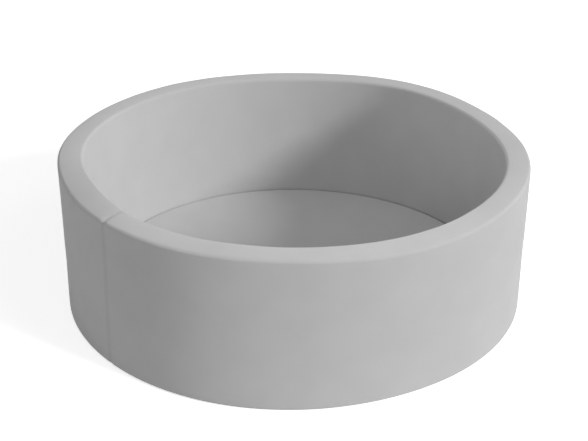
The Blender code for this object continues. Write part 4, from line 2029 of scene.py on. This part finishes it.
    def slider(self, metal: bpy.types.Material) -> None:
        """Makes the slider: two plates joined by a neck, rims with a slot for each tape, and a bail.

        Args:
            metal: the satin metal.
        """
        deep, room = self.slider_half_height, self.channel_half_height
        body = extruded(mirrored(self.slider_outline()), -deep, deep, 1)
        soften(body, self.slider_round, self.round_steps)
        plan = [*self.channel_outline(), (self.neck_tip, 0.0)]
        plan += [(x, -z) for x, z in reversed(self.channel_outline())]
        cuts = [(extruded(plan, -room, room, 1), "DIFFERENCE")]
        ends = self.slider_length / 2 + self.corner
        near = self.channel_half_width - self.corner
        far = self.slider_half_width + self.flare + self.corner
        slot = self.sizes.tape_thickness / 2 + self.slot_clearance
        for side in Side:
            low, high = side.value * near, side.value * far
            plan = [(-ends, low), (ends, low), (ends, high), (-ends, high)]
            cuts.append((extruded(plan, -slot, slot, 1), "DIFFERENCE"))
        bail = extruded(self.bail_outline(), -self.bail_width / 2, self.bail_width / 2, 2)
        soften(bail, self.bail_round, 2, above=50.0)
        shapes = [(self.put(shape, self.slider_azimuth), operation) for shape, operation in cuts]
        shapes.append((self.put(bail, self.slider_azimuth), "UNION"))
        piece = combined("slider_body", self.put(body, self.slider_azimuth), shapes, metal)
        seated(piece, Body.SLIDER, Slot.SLIDER, "zip_slider")

    def pull(self, metal: bpy.types.Material) -> None:
        """Makes the pull tab: a ring round the bail's arch and a tapered plate with a sunk face.

        Args:
            metal: the satin metal.
        """
        arm, bar, thick = self.pull_thickness, self.pull_thickness / 2, self.pull_thickness
        half = self.bail_width / 2 + self.pull_side_clearance + arm
        ring_end = bar + self.pull_window + arm
        ring = [(bar, half), (bar, -half), (-ring_end, -half), (-ring_end, half)]
        tip = [
            (-self.pull_length + self.pull_corner, half - self.pull_taper),
            (-self.pull_length, half - self.pull_corner),
        ]
        bm = bmesh.new()
        corners = [bm.verts.new((x, -thick / 2, z)) for x, z in ring]
        ends = [bm.verts.new((x, -thick / 2, z)) for x, z in mirrored(tip)]
        ring_face = bm.faces.new(corners)
        bm.faces.new([corners[3], corners[2], *reversed(ends)])
        bm.normal_update()
        bmesh.ops.inset_region(
            bm, faces=[ring_face], thickness=arm, use_boundary=True, use_even_offset=True
        )
        bmesh.ops.delete(bm, geom=[ring_face], context="FACES")
        thicken(bm, list(bm.faces), Vector((0.0, thick, 0.0)))
        soften(bm, self.pull_round, self.round_steps)
        flat = [face for face in bm.faces if abs(face.normal.y) > SQUARE_ON]
        plates = [face for face in flat if face.calc_center_median().x < -ring_end]
        bmesh.ops.inset_region(bm, faces=plates, thickness=self.pull_border, use_even_offset=True)
        bmesh.ops.inset_region(
            bm, faces=plates, thickness=self.pull_sunk, depth=-self.pull_sunk, use_even_offset=True
        )
        piece = piece_of("pull_tab", self.put(bm, self.slider_azimuth, self.pull_axis), metal)
        seated(piece, Body.PULL, Slot.SLIDER, "zip_pull")


@dataclass(frozen=True)
class Lamp:
    """A soft lamp that lights the pit from one side.

    Attributes:
        name: the lamp's name.
        azimuth: the azimuth that it stands at, in degrees.
        elevation: how high it stands over the point that it shines at, in degrees.
    """

    name: str
    azimuth: float
    elevation: float

    def hung(self, light: bpy.types.Light, distance: float) -> None:
        """Hangs a light and turns it to the pit.

        Args:
            light: the light.
            distance: how far it is from the point that it shines at.
        """
        turn, rise = math.radians(self.azimuth), math.radians(self.elevation)
        way = on_ring(math.cos(rise), math.sin(rise), turn)
        lamp = bpy.data.objects.new(self.name, light)
        lamp.location = LAMP_TARGET + way * distance
        lamp.rotation_euler = (-way).to_track_quat("-Z", "Y").to_euler()
        lamp.visible_camera = False
        bpy.context.scene.collection.objects.link(lamp)


@dataclass(frozen=True)
class DistantLamp(Lamp):
    """A large soft lamp, so far away that it lights all of the pit alike.

    Attributes:
        strength: its light on a face turned to it, in watts to a square metre.
        width: how wide it looks from the pit, in degrees.
        distance: how far off it hangs, which changes nothing in its light.
    """

    strength: float
    width: float = 24.0
    distance: float = 6.0

    def build(self) -> None:
        """Hangs the lamp."""
        light = bpy.data.lights.new(self.name, "SUN")
        light.energy = self.strength
        light.angle = math.radians(self.width)
        self.hung(light, self.distance)


@dataclass(frozen=True)
class NearLamp(Lamp):
    """A soft square lamp close over the pit.

    Attributes:
        distance: how far it is from the point that it shines at.
        size: its side.
        power: its power in watts.
    """

    distance: float
    size: float
    power: float

    def build(self) -> None:
        """Hangs the lamp."""
        light = bpy.data.lights.new(self.name, "AREA")
        light.shape = "SQUARE"
        light.size = self.size
        light.energy = self.power
        self.hung(light, self.distance)


@dataclass(frozen=True)
class Studio:
    """The pale studio: a floor, an even surrounding light, the lamps and the camera.

    Attributes:
        lamps: the lamps.
        ambient: the strength of the surrounding light.
        eye: where the camera is.
        right: the direction of the picture's right side.
        up: the direction of the picture's top.
        lens: the camera's focal length in millimetres.
        film: the width of its picture in millimetres.
        floor_radius: the radius of the studio's floor.
        floor_sides: the sides of its outline.
    """

    lamps: tuple[DistantLamp | NearLamp, ...]
    ambient: float = 0.22
    eye: Place = (0.0, -2.11922, 1.19422)
    right: Place = (0.9999929, 0.0014681, 0.0034596)
    up: Place = (-0.0037513, 0.4456622, 0.8951934)
    lens: float = 73.026
    film: float = 36.0
    floor_radius: float = 14.0
    floor_sides: int = 96

    def build(self) -> None:
        """Sets up the floor, the world, the lamps, the camera and the view."""
        self.floor()
        self.world()
        for lamp in self.lamps:
            lamp.build()
        self.camera()
        bpy.context.scene.view_settings.view_transform = "Standard"
        LOG.info("studio: %d lamps", len(self.lamps))

    def floor(self) -> None:
        """A wide white disc under the pit."""
        bm = bmesh.new()
        bmesh.ops.create_circle(
            bm, cap_ends=True, radius=self.floor_radius, segments=self.floor_sides
        )
        face_out(bm, UP)
        piece_of("studio_floor", bm, StudioFloor().material())

    def world(self) -> None:
        """An even surrounding light, which the camera sees white."""
        world = bpy.data.worlds.new("studio_light")
        shader = Shader(world)
        colour = shader.mixed((self.ambient,) * 3, (1.0, 1.0, 1.0), shader.seen())
        sockets = {"Color": colour, "Strength": 1.0}
        bpy.context.scene.world = shader.finished("ShaderNodeBackground", sockets)

    def camera(self) -> None:
        """The camera, where the picture was taken from."""
        right, up = Vector(self.right).normalized(), Vector(self.up)
        back = right.cross(up).normalized()
        up = back.cross(right)
        camera = bpy.data.objects.new("camera", bpy.data.cameras.new("camera"))
        camera.data.sensor_width = self.film
        camera.data.lens = self.lens
        turn = Matrix((right, up, back)).transposed().to_4x4()
        camera.matrix_world = Matrix.Translation(self.eye) @ turn
        bpy.context.scene.collection.objects.link(camera)
        bpy.context.scene.camera = camera


def main() -> None:
    """Builds the pit and its studio."""
    logging.basicConfig(level=logging.INFO, format="%(name)s: %(message)s")
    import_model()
    sizes = PitSizes()
    lobes = (
        Lobe(azimuth=20.0, spread=22.0, rim=-0.0030, lift=-0.0015),
        Lobe(azimuth=55.0, spread=18.0, rim=0.0030, lift=0.0015),
        Lobe(azimuth=92.0, spread=24.0, rim=-0.0065, lift=-0.0025),
        Lobe(azimuth=170.0, spread=24.0, rim=0.0070, foot=-0.0025, droop=0.0050, swell=0.0060),
        Lobe(azimuth=206.0, spread=20.0, rim=-0.0080, lift=0.0010, droop=0.0130, swell=0.0030),
        Lobe(azimuth=245.0, spread=22.0, rim=0.0010, foot=0.0025, droop=0.0045),
        Lobe(azimuth=298.0, spread=26.0, rim=0.0025, foot=-0.0035, droop=0.0080),
    )
    settling = Settling(sizes, lobes)
    cover = Cover(sizes, settling)
    FoamCore(sizes, settling, cover).build()
    cover.build()
    Zip(sizes).build()
    lamps = (
        DistantLamp("key", azimuth=330.0, elevation=25.0, strength=2.35, width=12.0),
        DistantLamp("front", azimuth=270.0, elevation=35.0, strength=0.38),
        DistantLamp("side", azimuth=180.0, elevation=15.0, strength=0.45),
        NearLamp("near", azimuth=300.0, elevation=60.0, distance=1.0, size=0.5, power=2.60),
    )
    Studio(lamps).build()


if __name__ == "__main__":
    main()
